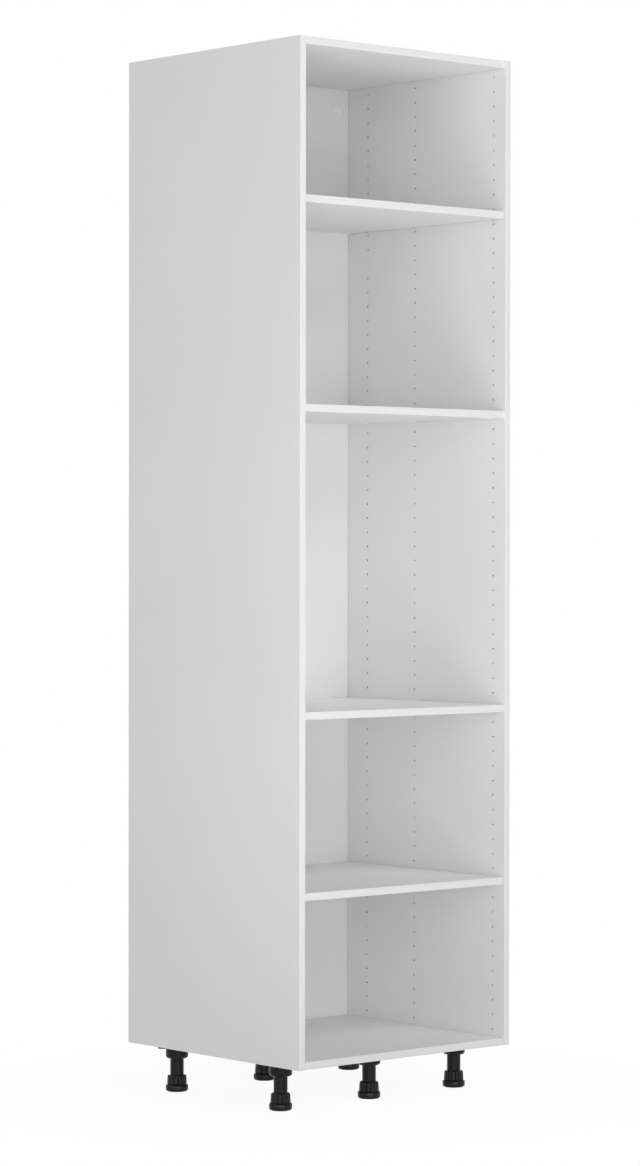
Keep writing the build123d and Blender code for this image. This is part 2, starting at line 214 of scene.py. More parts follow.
class ToneDrift(Effect):
    """Slow change of a colour's lightness over the surface."""

    title = "tone drift"
    inputs = (("Colour", "Color"), ("Scale", "Float"), ("Change", "Float"))
    outputs = (("Colour", "Color"),)

    def draw(self, sheet: NodeSheet, given: NodeOutputs) -> dict[str, object]:
        """Lightens and darkens the colour by a noise."""
        noise = sheet.noise(object_place(sheet), given["Scale"])[0]
        low, high = (sheet.math(way, 1.0, given["Change"]) for way in ("SUBTRACT", "ADD"))
        return {"Colour": sheet.scaled(given["Colour"], sheet.spread(noise, low, high))}


class GlossDrift(Effect):
    """Change of roughness where hands and cloths have been."""

    title = "gloss drift"
    inputs = (("Roughness", "Float"), ("Scale", "Float"), ("Change", "Float"))
    outputs = (("Roughness", "Float"),)

    def draw(self, sheet: NodeSheet, given: NodeOutputs) -> dict[str, object]:
        """Adds a soft cloudy change to the roughness."""
        noise = sheet.noise(object_place(sheet), given["Scale"], detail=4.0, distortion=0.6)[0]
        less = sheet.math("MULTIPLY", given["Change"], -1.0)
        change = sheet.spread(noise, less, given["Change"])
        return {"Roughness": sheet.math("ADD", given["Roughness"], change)}


class FineRelief(Effect):
    """Fine pebbled relief of a pressed or moulded surface."""

    title = "fine relief"
    inputs = (("Scale", "Float"), ("Coarseness", "Float"))
    outputs = (("Height", "Float"),)
    wide_share = 0.27

    def draw(self, sheet: NodeSheet, given: NodeOutputs) -> dict[str, object]:
        """Adds a coarser noise to a fine one."""
        place = object_place(sheet)
        fine = sheet.noise(place, given["Scale"], detail=1.5)[0]
        wide = sheet.math("MULTIPLY", given["Scale"], self.wide_share)
        coarse = sheet.noise(place, wide, detail=1.0)[0]
        inputs = {0: given["Coarseness"], 2: fine, 3: coarse}
        return {"Height": sheet.add("ShaderNodeMix", inputs, data_type="FLOAT").outputs[0]}


class PressedChips(Effect):
    """Pressed wood chips of many tones, with small hollows between them."""

    title = "pressed chips"
    inputs = (("Light", "Color"), ("Dark", "Color"), ("Scale", "Float"))
    outputs = (("Colour", "Color"), ("Height", "Float"))
    warp_scale = 160.0
    warp_reach = 0.004

    def draw(self, sheet: NodeSheet, given: NodeOutputs) -> dict[str, object]:
        """Gives each cell of a warped Voronoi pattern its own tone."""
        place = object_place(sheet)
        shift = sheet.scaled(sheet.noise(place, self.warp_scale)["Color"], self.warp_reach)
        moved = sheet.add("ShaderNodeVectorMath", {0: place, 1: shift}, operation="ADD").outputs[0]
        cells = sheet.add("ShaderNodeTexVoronoi", {"Vector": moved, "Scale": given["Scale"]})
        tone = sheet.add("ShaderNodeSeparateColor", {0: cells.outputs["Color"]}).outputs[0]
        colour = sheet.blend(tone, given["Dark"], given["Light"])
        return {"Colour": colour, "Height": sheet.math("SUBTRACT", tone, cells.outputs["Distance"])}


class LongGrain(Effect):
    """Grain drawn out along one direction, as in wood or brushed plating."""

    title = "long grain"
    inputs = (("Light", "Color"), ("Dark", "Color"), ("Stretch", "Vector"))
    outputs = (("Colour", "Color"), ("Height", "Float"))

    def draw(self, sheet: NodeSheet, given: NodeOutputs) -> dict[str, object]:
        """Reads a noise on stretched coordinates."""
        inputs = {0: object_place(sheet), 1: given["Stretch"]}
        place = sheet.add("ShaderNodeVectorMath", inputs, operation="MULTIPLY").outputs[0]
        grain = sheet.spread(sheet.noise(place, 1.0, detail=5.0, roughness=0.6)[0], 0.0, 1.0)
        return {"Colour": sheet.blend(grain, given["Dark"], given["Light"]), "Height": grain}


class SettledDust(Effect):
    """Thin dust on faces that look up."""

    title = "settled dust"
    inputs = (("Colour", "Color"), ("Dust", "Color", (0.45, 0.43, 0.40, 1.0)), ("Amount", "Float"))
    outputs = (("Colour", "Color"),)
    patch_scale = 180.0

    def draw(self, sheet: NodeSheet, given: NodeOutputs) -> dict[str, object]:
        """Mixes dust in by the upward share of the normal and a patchy noise."""
        normal = sheet.add("ShaderNodeNewGeometry").outputs["Normal"]
        up = sheet.math("MAXIMUM", sheet.add("ShaderNodeSeparateXYZ", {0: normal}).outputs["Z"], 0.0)
        patches = sheet.noise(object_place(sheet), self.patch_scale, detail=4.0)[0]
        share = sheet.math("MULTIPLY", sheet.math("MULTIPLY", up, patches), given["Amount"])
        return {"Colour": sheet.blend(share, given["Colour"], given["Dust"])}


# Finishes


def full(colour: Colour) -> tuple[float, float, float, float]:
    """A colour with its alpha."""
    return (*colour, 1.0)


@dataclass(frozen=True)
class Finish:
    """Colour, gloss and relief of one finish.

    Attributes:
        title: The material's name.
        colour: Linear colour.
        roughness: Mean roughness.
        relief_scale: Bumps a metre.
        relief_depth: Height of the bumps in metres.
        tone_change: Share by which the colour drifts.
        gloss_change: Amount by which the roughness drifts.
        metallic: Share of metal.
        specular: Specular level.
    """

    title: str
    colour: Colour
    roughness: float
    relief_scale: float
    relief_depth: float
    tone_change: float = 0.012
    gloss_change: float = 0.05
    metallic: float = 0.0
    specular: float = 0.5

    tone_patches: ClassVar[float] = 2.5
    gloss_patches: ClassVar[float] = 7.0
    coarseness: ClassVar[float] = 0.35

    def paint(self, sheet: NodeSheet) -> tuple[NodeSocket, NodeSocket]:
        """Draws the colour and the relief.

        Args:
            sheet: The material's nodes.

        Returns:
            The sockets of the colour and of the height.
        """
        relief = FineRelief().place(sheet, {"Scale": self.relief_scale, "Coarseness": self.coarseness})
        return self.drifted(sheet, full(self.colour)), relief["Height"]

    def drifted(self, sheet: NodeSheet, colour: object) -> NodeSocket:
        """Lets a colour's lightness drift over the surface."""
        values = {"Colour": colour, "Scale": self.tone_patches, "Change": self.tone_change}
        return ToneDrift().place(sheet, values)["Colour"]

    def material(self) -> Material:
        """Builds the finish's material."""
        material = bpy.data.materials.new(self.title)
        material.use_nodes = True
        sheet = NodeSheet(material.node_tree)
        shader = material.node_tree.nodes["Principled BSDF"]
        shader.inputs["Metallic"].default_value = self.metallic
        shader.inputs["Specular IOR Level"].default_value = self.specular
        colour, height = self.paint(sheet)
        gloss = {"Roughness": self.roughness, "Scale": self.gloss_patches, "Change": self.gloss_change}
        relief = {"Height": height, "Distance": self.relief_depth, "Strength": 1.0}
        sheet.tree.links.new(colour, shader.inputs["Base Color"])
        sheet.tree.links.new(GlossDrift().place(sheet, gloss)["Roughness"], shader.inputs["Roughness"])
        sheet.tree.links.new(sheet.add("ShaderNodeBump", relief).outputs[0], shader.inputs["Normal"])
        return material


@dataclass(frozen=True)
class ChipCore(Finish):
    """Bare chipboard where a board isn't coated."""

    dark: Colour = (0.24, 0.15, 0.08)

    tone_patches: ClassVar[float] = 12.0

    def paint(self, sheet: NodeSheet) -> tuple[NodeSocket, NodeSocket]:
        """Paints chips of many tones."""
        values = {"Light": full(self.colour), "Dark": full(self.dark), "Scale": self.relief_scale}
        chips = PressedChips().place(sheet, values)
        return self.drifted(sheet, chips["Colour"]), chips["Height"]


@dataclass(frozen=True)
class DrawnGrain(Finish):
    """Wood or brushed metal with its grain along one axis."""

    dark: Colour = (0.4, 0.26, 0.14)
    stretch: tuple[float, float, float] = (40.0, 600.0, 600.0)

    def paint(self, sheet: NodeSheet) -> tuple[NodeSocket, NodeSocket]:
        """Paints the drawn-out grain."""
        values = {"Light": full(self.colour), "Dark": full(self.dark), "Stretch": self.stretch}
        grain = LongGrain().place(sheet, values)
        return grain["Colour"], grain["Height"]


@dataclass(frozen=True)
class MouldedPlastic(Finish):
    """Moulded plastic with a fine spark-eroded relief and a trace of dust on top."""

    dust: float = 0.04

    def paint(self, sheet: NodeSheet) -> tuple[NodeSocket, NodeSocket]:
        """Paints the plastic and the dust."""
        colour, height = super().paint(sheet)
        return SettledDust().place(sheet, {"Colour": colour, "Amount": self.dust})["Colour"], height


class Surface(Enum):
    """The finishes on this cabinet."""

    BOARD = Finish("white coated board", (0.84, 0.84, 0.84), 0.46, 700.0, 0.00002, specular=0.35)
    CORE = ChipCore(
        "chipboard core", (0.62, 0.54, 0.43), 0.85, 520.0, 0.0002,
        tone_change=0.08, dark=(0.36, 0.29, 0.21),
    )
    BORE = ChipCore(
        "drilled wall", (0.82, 0.82, 0.82), 0.8, 900.0, 0.0001,
        tone_change=0.05, dark=(0.69, 0.69, 0.68),
    )
    # Edge band: the same white as the board, but written darker (0.70 against 0.84) as painted shade, so that
    # the front edges, which face the lamps, render less bright.
    BAND_WITH_PAINTED_SHADE = Finish("white edge band with painted shade", (0.70, 0.70, 0.70), 0.42, 900.0, 0.000015, specular=0.35)
    WHITE = MouldedPlastic(
        "white moulded plastic", (0.96, 0.96, 0.96), 0.3, 1500.0, 0.000005,
        specular=0.8, dust=0.0,
    )
    BLACK = MouldedPlastic(
        "black moulded plastic", (0.004, 0.004, 0.0042), 0.28, 1400.0, 0.000003,
        tone_change=0.1, specular=0.2, dust=0.02,
    )
    ZINC = DrawnGrain(
        "bright zinc", (0.72, 0.73, 0.75), 0.34, 0.0, 0.00001,
        metallic=1.0, dark=(0.58, 0.59, 0.60), stretch=(900.0, 60.0, 900.0),
    )
    BEECH = DrawnGrain("beech", (0.62, 0.42, 0.25), 0.6, 0.0, 0.00005)

    @property
    def material(self) -> Material:
        """The finish's material, built when it is first asked for."""
        return bpy.data.materials.get(self.value.title) or self.value.material()


# Meshes


def arc(x: float, y: float, radius: float, start: float, end: float, steps: int) -> list[tuple[float, float]]:
    """Points on an arc.

    Args:
        x: Centre.
        y: Centre.
        radius: Radius.
        start: First angle in degrees.
        end: Last angle in degrees.
        steps: Number of chords.

    Returns:
        The points, both ends with them.
    """
    angles = [math.radians(start + (end - start) * step / steps) for step in range(steps + 1)]
    return [(x + radius * math.cos(angle), y + radius * math.sin(angle)) for angle in angles]


def rounded(corners: Sequence[tuple[float, float, float]], steps: int = 4) -> list[tuple[float, float]]:
    """Rounds the corners of an outline.

    Args:
        corners: Place and radius of each corner.
        steps: Chords in each rounding.

    Returns:
        The outline's points.
    """
    points = []
    for number, (x, y, radius) in enumerate(corners):
        if not radius:
            points.append((x, y))
            continue
        here = Vector((x, y))
        back = (Vector(corners[number - 1][:2]) - here).normalized()
        ahead = (Vector(corners[(number + 1) % len(corners)][:2]) - here).normalized()
        half = back.angle(ahead) / 2
        centre = here + (back + ahead).normalized() * radius / math.sin(half)
        first = here + back * radius / math.tan(half) - centre
        last = here + ahead * radius / math.tan(half) - centre
        start = math.degrees(math.atan2(first.y, first.x))
        turn = (math.degrees(math.atan2(last.y, last.x)) - start + 180) % 360 - 180
        points += arc(centre.x, centre.y, radius, start, start + turn, steps)
    return points


def rectangle(
    x0: float, y0: float, x1: float, y1: float, radii: Sequence[float] = (0, 0, 0, 0)
) -> list[tuple[float, float]]:
    """A rectangle's outline from its lowest and highest corners, with a radius for each corner in turn."""
    corners = ((x0, y0), (x1, y0), (x1, y1), (x0, y1))
    return rounded([(*corner, radius) for corner, radius in zip(corners, radii)])


def disc(radius: float, low: float, high: float, soft: float) -> list[tuple[float, float]]:
    """A turned disc's profile, with its edges taken off."""
    return [(radius - soft, low), (radius, low + soft), (radius, high - soft), (radius - soft, high)]


def held(value: float, low: float, high: float) -> float:
    """A value held between two others."""
    return min(max(value, low), high)


def soft_ends(low: Vector, high: Vector, soft: float) -> tuple[tuple[float, float], ...]:
    """X of each ring of a piece that lies across, and how far its softened ends draw the ring in."""
    return (low.x, soft), (low.x + soft, 0.0), (high.x - soft, 0.0), (high.x, soft)


def as_given(x: float, y: float, z: float) -> Vector:
    """The place of an outline that lies flat, at a level along Z."""
    return Vector((x, y, z))


def facing_side(y: float, z: float, x: float) -> Vector:
    """The place of an outline that faces sideways, at a level along X."""
    return Vector((x, y, z))


def facing_front(x: float, z: float, y: float) -> Vector:
    """The place of an outline that faces forwards, at a level along Y."""
    return Vector((x, y, z))


class Skin(Enum):
    """What a face of a board shows; the value is the number of its material."""

    COATED = 0
    BARE = 1
    BORED = 2


SkinOf = Callable[[int, int], Skin]


def all_bare(side: int, band: int) -> Skin:
    """Says that every face is bare."""
    return Skin.BARE


class Form:
    """A closed mesh in the making, whose faces are coated where nothing else is said."""

    def __init__(self) -> None:
        """Starts empty."""
        self.mesh_data = bmesh.new()

    def face(self, corners: Sequence[Vector], skin: Skin = Skin.COATED) -> None:
        """Adds one face from its corners."""
        face = self.mesh_data.faces.new([self.mesh_data.verts.new(corner) for corner in corners])
        face.material_index = skin.value

    def rings(
        self,
        rings: Sequence[Sequence[Vector]],
        loop: bool = False,
        ends: bool = True,
        skin: SkinOf | None = None,
        skip: Callable[[int, int], bool] | None = None,
    ) -> None:
        """Joins rings of as many points each by four-cornered faces.

        Args:
            rings: The rings in order.
            loop: Whether the last ring joins the first.
            ends: Whether the first and last ring are closed by a face, which is bare if skins are told.
            skin: Tells a face's skin from its side and ring.
            skip: Says by side and ring whether a face is left out.
        """
        rows = [[self.mesh_data.verts.new(point) for point in ring] for ring in rings]
        pairs = list(zip(rows, rows[1:] + rows[:1] if loop else rows[1:]))
        for band, (low, high) in enumerate(pairs):
            for side in range(len(low)):
                if skip and skip(side, band):
                    continue
                after = (side + 1) % len(low)
                face = self.mesh_data.faces.new((low[side], low[after], high[after], high[side]))
                face.material_index = skin(side, band).value if skin else 0
        if ends and not loop:
            for row in (rows[0], rows[-1]):
                self.mesh_data.faces.new(row).material_index = int(skin is not None)

    def prism(
        self, outline: Points, low: float, high: float, place: Place = as_given, skin: SkinOf | None = None
    ) -> None:
        """Draws an outline out from one level to another.

        Args:
            outline: The outline's points.
            low: First level.
            high: Last level.
            place: Turns a point of the outline and a level into a place.
            skin: Tells a face's skin from its side and ring.
        """
        self.rings([[place(a, b, level) for a, b in outline] for level in (low, high)], skin=skin)

    def turned(self, profile: Points, segments: int, loop: bool = False) -> None:
        """Turns a profile about the Z axis.

        Args:
            profile: Radius and height of each point; it starts and ends on the axis unless it is a loop.
            segments: Sides of the turned piece.
            loop: Whether the last point joins the first.
        """
        turns = [2 * math.pi * side / segments for side in range(segments)]
        rings = [[Vector((r * math.cos(t), r * math.sin(t), height)) for t in turns] for r, height in profile]
        self.rings(rings, loop=loop, ends=False)

    def hole_cell(
        self, low: tuple[float, float], high: tuple[float, float], centre: tuple[float, float], place: Place
    ) -> None:
        """Draws a rectangle of a face with one blind hole in it.

        Args:
            low: Lowest corner on the face.
            high: Highest corner on the face.
            centre: Centre of the hole on the face.
            place: Turns a point on the face and a depth into a place.
        """
        corners = [(high[0], low[1]), high, (low[0], high[1]), low]
        rims = ((HOLE_RADIUS + HOLE_LIP, 0.0), (HOLE_RADIUS, HOLE_LIP), (HOLE_RADIUS, HOLE_DEPTH))
        rings = []
        for radius, depth in rims:
            around = arc(*centre, radius, 0, 360, HOLE_SEGMENTS)[:-1]
            rings.append([place(a, b, depth) for a, b in around])
        eighth = HOLE_SEGMENTS // 8
        for quarter in range(4):
            edge = [place(*corners[quarter], 0.0), place(*corners[(quarter + 1) % 4], 0.0)]
            steps = range(eighth * (2 * quarter + 1), eighth * (2 * quarter - 1) - 1, -1)
            self.face(edge + [rings[0][step % HOLE_SEGMENTS] for step in steps])
        self.rings(rings, ends=False, skin=lambda side, band: Skin.BORED if band else Skin.COATED)
        self.face(rings[-1], Skin.BORED)

    def mesh(self, name: str, *surfaces: Surface) -> Mesh:
        """Merges the form's doubles, turns its faces outwards and makes it a mesh.

        Args:
            name: The mesh's name.
            surfaces: Finishes of the coated and of the bare faces.

        Returns:
            The mesh.
        """
        bmesh.ops.remove_doubles(self.mesh_data, verts=self.mesh_data.verts[:], dist=MERGE)
        bmesh.ops.recalc_face_normals(self.mesh_data, faces=self.mesh_data.faces[:])
        mesh = bpy.data.meshes.new(name)
        self.mesh_data.to_mesh(mesh)
        self.mesh_data.free()
        for surface in surfaces:
            mesh.materials.append(surface.material)
        return mesh


@contextmanager
def laid_out(*meshes: Mesh) -> Iterator[list[Object]]:
    """Holds meshes in the scene as helper objects while a piece is made, and clears them away after.

    Args:
        meshes: The meshes.

    Yields:
        Their objects.
    """
    helpers = [bpy.data.objects.new("helper", mesh) for mesh in meshes]
    for helper in helpers:
        bpy.context.scene.collection.objects.link(helper)
    try:
        yield helpers
    finally:
        for helper in helpers:
            bpy.data.objects.remove(helper)


def modified(mesh: Mesh, kind: str, **settings: object) -> Mesh:
    """Puts a modifier on a mesh and takes the result.

    Args:
        mesh: The mesh to start from.
        kind: The modifier's type.
        settings: The modifier's settings.

    Returns:
        The new mesh.
    """
    with laid_out(mesh) as (helper,):
        modifier = helper.modifiers.new("work", kind)
        for name, value in settings.items():
            setattr(modifier, name, value)
        graph = bpy.context.evaluated_depsgraph_get()
        return bpy.data.meshes.new_from_object(helper.evaluated_get(graph), depsgraph=graph)


def softened(mesh: Mesh, width: float) -> Mesh:
    """Rounds a mesh's sharp edges by a width."""
    return modified(mesh, "BEVEL", width=width, segments=2, angle_limit=BEVEL_ANGLE)


def carved(mesh: Mesh, tool: Mesh) -> Mesh:
    """Cuts a tool's shape out of a mesh."""
    with laid_out(tool) as (cutter,):
        settings = {"operation": "DIFFERENCE", "solver": "EXACT", "material_mode": "INDEX"}
        return modified(mesh, "BOOLEAN", **settings, object=cutter)


def placed(mesh: Mesh, place: Matrix) -> Mesh:
    """A copy of a mesh, moved to its place."""
    copy = mesh.copy()
    copy.transform(place)
    return copy


def finish_piece(name: str, mesh: Mesh, node: str) -> Object:
    """Makes a mesh the shown piece of a CAD node.

    Args:
        name: The piece's name.
        mesh: Its final mesh, in place.
        node: The CAD node that it stands for, whose body it rides on.

    Returns:
        The piece.
    """
    mesh.shade_smooth()
    mesh.set_sharp_from_angle(angle=SMOOTH_ANGLE)
    piece = bpy.data.objects.new(name, mesh)
    bpy.context.scene.collection.objects.link(piece)
    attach(piece, BODY_OF[node])
    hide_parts(node)
    LOG.info("%s: %d faces, rides on %s", name, len(mesh.polygons), BODY_OF[node])
    return piece


# Geometry trees


class GeometryTree:
    """A Geometry Nodes tree with named inputs."""

    title = "tree"
    inputs: tuple[tuple, ...] = ()

    def __init__(self) -> None:
        """Makes the tree's sockets and draws its inside."""
        self.tree = bpy.data.node_groups.new(self.title, "GeometryNodeTree")
        sheet = NodeSheet(self.tree)
        for item in self.inputs:
            sheet.socket(*item)
        sheet.socket("Geometry", "Geometry", output=True)
        made = self.draw(sheet, sheet.add("NodeGroupInput").outputs)
        sheet.add("NodeGroupOutput", {"Geometry": made})

    def draw(self, sheet: NodeSheet, given: NodeOutputs) -> NodeSocket:
        """Draws the tree.

        Args:
            sheet: Where the nodes go.
            given: The tree's inputs.

        Returns:
            The finished geometry.
        """
        raise NotImplementedError

    def run(self, mesh: Mesh, values: dict[str, object]) -> Mesh:
        """Runs the tree on a mesh.

        Args:
            mesh: What goes into the tree.
            values: The tree's other inputs by name.

        Returns:
            The result as a plain mesh.
        """
        with laid_out(mesh) as (helper,):
            modifier = helper.modifiers.new("tree", "NODES")
            modifier.node_group = self.tree
            for item in self.tree.interface.items_tree:
                if item.in_out == "INPUT" and item.name in values:
                    modifier[item.identifier] = values[item.name]
            graph = bpy.context.evaluated_depsgraph_get()
            evaluated = helper.evaluated_get(graph)
            return bpy.data.meshes.new_from_object(evaluated, preserve_all_data_layers=True, depsgraph=graph)


class HoleRows(GeometryTree):
    """Sets a cell with a hole at every row of every column, and joins the cells to their panel."""

    title = "rows of holes"
    inputs = (
        ("Panel", "Geometry"),
        ("Columns", "Object"),
        ("Cell", "Object"),
        ("Rows", "Int"),
        ("Pitch", "Float", HOLE_PITCH),
        ("Left Out", "Float"),
        ("Coated", "Material"),
        ("Bare", "Material"),
        ("Bored", "Material"),
    )

    def draw(self, sheet: NodeSheet, given: NodeOutputs) -> NodeSocket:
        """Draws lines of points, clears one height, sets the cells and merges them with the panel."""
        columns = sheet.add("GeometryNodeObjectInfo", {"Object": given["Columns"]}).outputs["Geometry"]
        cell = sheet.add("GeometryNodeObjectInfo", {"Object": given["Cell"]}).outputs["Geometry"]
        step = sheet.add("ShaderNodeCombineXYZ", {"Z": given["Pitch"]}).outputs[0]
        line = sheet.add("GeometryNodeMeshLine", {"Count": given["Rows"], "Offset": step}).outputs[0]
        lines = sheet.add("GeometryNodeInstanceOnPoints", {"Points": columns, "Instance": line}).outputs[0]
        points = sheet.add("GeometryNodeRealizeInstances", {0: lines}).outputs[0]
        position = sheet.add("GeometryNodeInputPosition").outputs[0]
        height = sheet.add("ShaderNodeSeparateXYZ", {0: position}).outputs["Z"]
        gap = sheet.math("ABSOLUTE", sheet.math("SUBTRACT", height, given["Left Out"]))
        near = sheet.math("LESS_THAN", gap, sheet.math("MULTIPLY", given["Pitch"], 0.5))
        kept = sheet.add("GeometryNodeDeleteGeometry", {"Geometry": points, "Selection": near}).outputs[0]
        cells = sheet.add("GeometryNodeInstanceOnPoints", {"Points": kept, "Instance": cell}).outputs[0]
        joined = sheet.add("GeometryNodeJoinGeometry", {0: given["Panel"]})
        sheet.tree.links.new(cells, joined.inputs[0])
        real = sheet.add("GeometryNodeRealizeInstances", {0: joined.outputs[0]}).outputs[0]
        merged = sheet.add("GeometryNodeMergeByDistance", {"Geometry": real, "Distance": MERGE}).outputs[0]
        told = sheet.attribute("skin", "INT")
        for skin, name in ((Skin.COATED, "Coated"), (Skin.BARE, "Bare"), (Skin.BORED, "Bored")):
            alike = {"data_type": "INT", "operation": "EQUAL"}
            chosen = sheet.add("FunctionNodeCompare", {"A": told, "B": skin.value}, **alike).outputs[0]
            inputs = {"Geometry": merged, "Selection": chosen, "Material": given[name]}
            merged = sheet.add("GeometryNodeSetMaterial", inputs).outputs[0]
        return merged


class FittingRows(GeometryTree):
    """Sets one fitting at each point, turned as the point says and twisted about its own axis by chance."""

    title = "rows of fittings"
    inputs = (
        ("Points", "Geometry"),
        ("Fitting", "Object"),
        ("Twist", "Float"),
        ("Seed", "Int", 7),
        ("Finish", "Material"),
    )

    def draw(self, sheet: NodeSheet, given: NodeOutputs) -> NodeSocket:
        """Sets the fittings, twists them and makes them real."""
        fitting = sheet.add("GeometryNodeObjectInfo", {"Object": given["Fitting"]}).outputs["Geometry"]
        turn = sheet.attribute("turn", "FLOAT_VECTOR")
        turned = sheet.add("FunctionNodeEulerToRotation", {0: turn}).outputs[0]
        inputs = {"Points": given["Points"], "Instance": fitting, "Rotation": turned}
        rows = sheet.add("GeometryNodeInstanceOnPoints", inputs).outputs[0]
        inputs = {3: given["Twist"], "Seed": given["Seed"]}
        chance = sheet.add("FunctionNodeRandomValue", inputs, data_type="FLOAT").outputs[1]
        angle = sheet.add("ShaderNodeCombineXYZ", {"Z": chance}).outputs[0]
        twist = sheet.add("FunctionNodeEulerToRotation", {0: angle}).outputs[0]
        inputs = {"Instances": rows, "Rotation": twist, "Local Space": True}
        spun = sheet.add("GeometryNodeRotateInstances", inputs).outputs[0]
        return sheet.finished(spun, given["Finish"])

    def set(
        self,
        fitting: Mesh,
        spots: Sequence[tuple[Vector, Vector]],
        surface: Surface,
        twist: float = 0.0,
    ) -> Mesh:
        """Sets a fitting at each spot.

        Args:
            fitting: The fitting's mesh on the origin.
            spots: Place and turn of each.
            surface: Its finish.
            twist: Largest twist about its own Z axis.

        Returns:
            One mesh that holds all of them.
        """
        points = bpy.data.meshes.new("spots")
        points.from_pydata([place for place, _ in spots], [], [])
        turns = points.attributes.new("turn", "FLOAT_VECTOR", "POINT")
        turns.data.foreach_set("vector", [value for _, turn in spots for value in turn])
        with laid_out(fitting) as (helper,):
            values = {"Fitting": helper, "Twist": twist, "Finish": surface.material}
            return self.run(points, values)


class TurnedRelief(GeometryTree):
    """Presses flutes or a thread into the part of a turned mesh that an attribute marks."""

    title = "turned relief"
    inputs = (
        ("Turned", "Geometry"),
        ("Region", "String"),
        ("Flutes", "Float"),
        ("Slope", "Float"),
        ("Depth", "Float"),
        ("Sharpness", "Float"),
        ("Finish", "Material"),
    )

    def draw(self, sheet: NodeSheet, given: NodeOutputs) -> NodeSocket:
        """Moves points towards the axis by their angle and height."""
        position = sheet.add("GeometryNodeInputPosition").outputs[0]
        parts = sheet.add("ShaderNodeSeparateXYZ", {0: position}).outputs
        angle = sheet.math("MULTIPLY", sheet.math("ARCTAN2", parts["Y"], parts["X"]), given["Flutes"])
        phase = sheet.math("SUBTRACT", angle, sheet.math("MULTIPLY", parts["Z"], given["Slope"]))
        wave = sheet.math("ABSOLUTE", sheet.math("SINE", sheet.math("MULTIPLY", phase, 0.5)))
        valley = sheet.math("POWER", sheet.math("SUBTRACT", 1.0, wave), given["Sharpness"])
        share = sheet.math("MULTIPLY", valley, sheet.attribute(given["Region"], "FLOAT"))
        inwards = sheet.math("MULTIPLY", share, given["Depth"])
        flat = sheet.add("ShaderNodeCombineXYZ", {"X": parts["X"], "Y": parts["Y"]}).outputs[0]
        out = sheet.add("ShaderNodeVectorMath", {0: flat}, operation="NORMALIZE").outputs[0]
        shift = sheet.scaled(out, sheet.math("MULTIPLY", inwards, -1.0))
        moved = sheet.add("GeometryNodeSetPosition", {"Geometry": given["Turned"], "Offset": shift})
        return sheet.finished(moved.outputs[0], given["Finish"])

    def thread(
        self, mesh: Mesh, pitch: float, depth: float, sharpness: float, surface: Surface
    ) -> Mesh:
        """Cuts a thread where a mesh is marked for it.

        Args:
            mesh: The turned mesh.
            pitch: Rise of one turn.
            depth: Depth of the thread.
            sharpness: How narrow its valley is.
            surface: The piece's finish.

        Returns:
            The threaded mesh.
        """
        values = {"Region": "thread", "Flutes": 1.0, "Slope": 2 * math.pi / pitch, "Sharpness": sharpness}
        return self.run(mesh, values | {"Depth": depth, "Finish": surface.material})


def mark(mesh: Mesh, region: str, chosen: Callable[[Vector], float]) -> None:
    """Marks how far each point of a mesh belongs to a region."""
    attribute = mesh.attributes.new(region, "FLOAT", "POINT")
    attribute.data.foreach_set("value", [chosen(vertex.co) for vertex in mesh.vertices])


# Boards


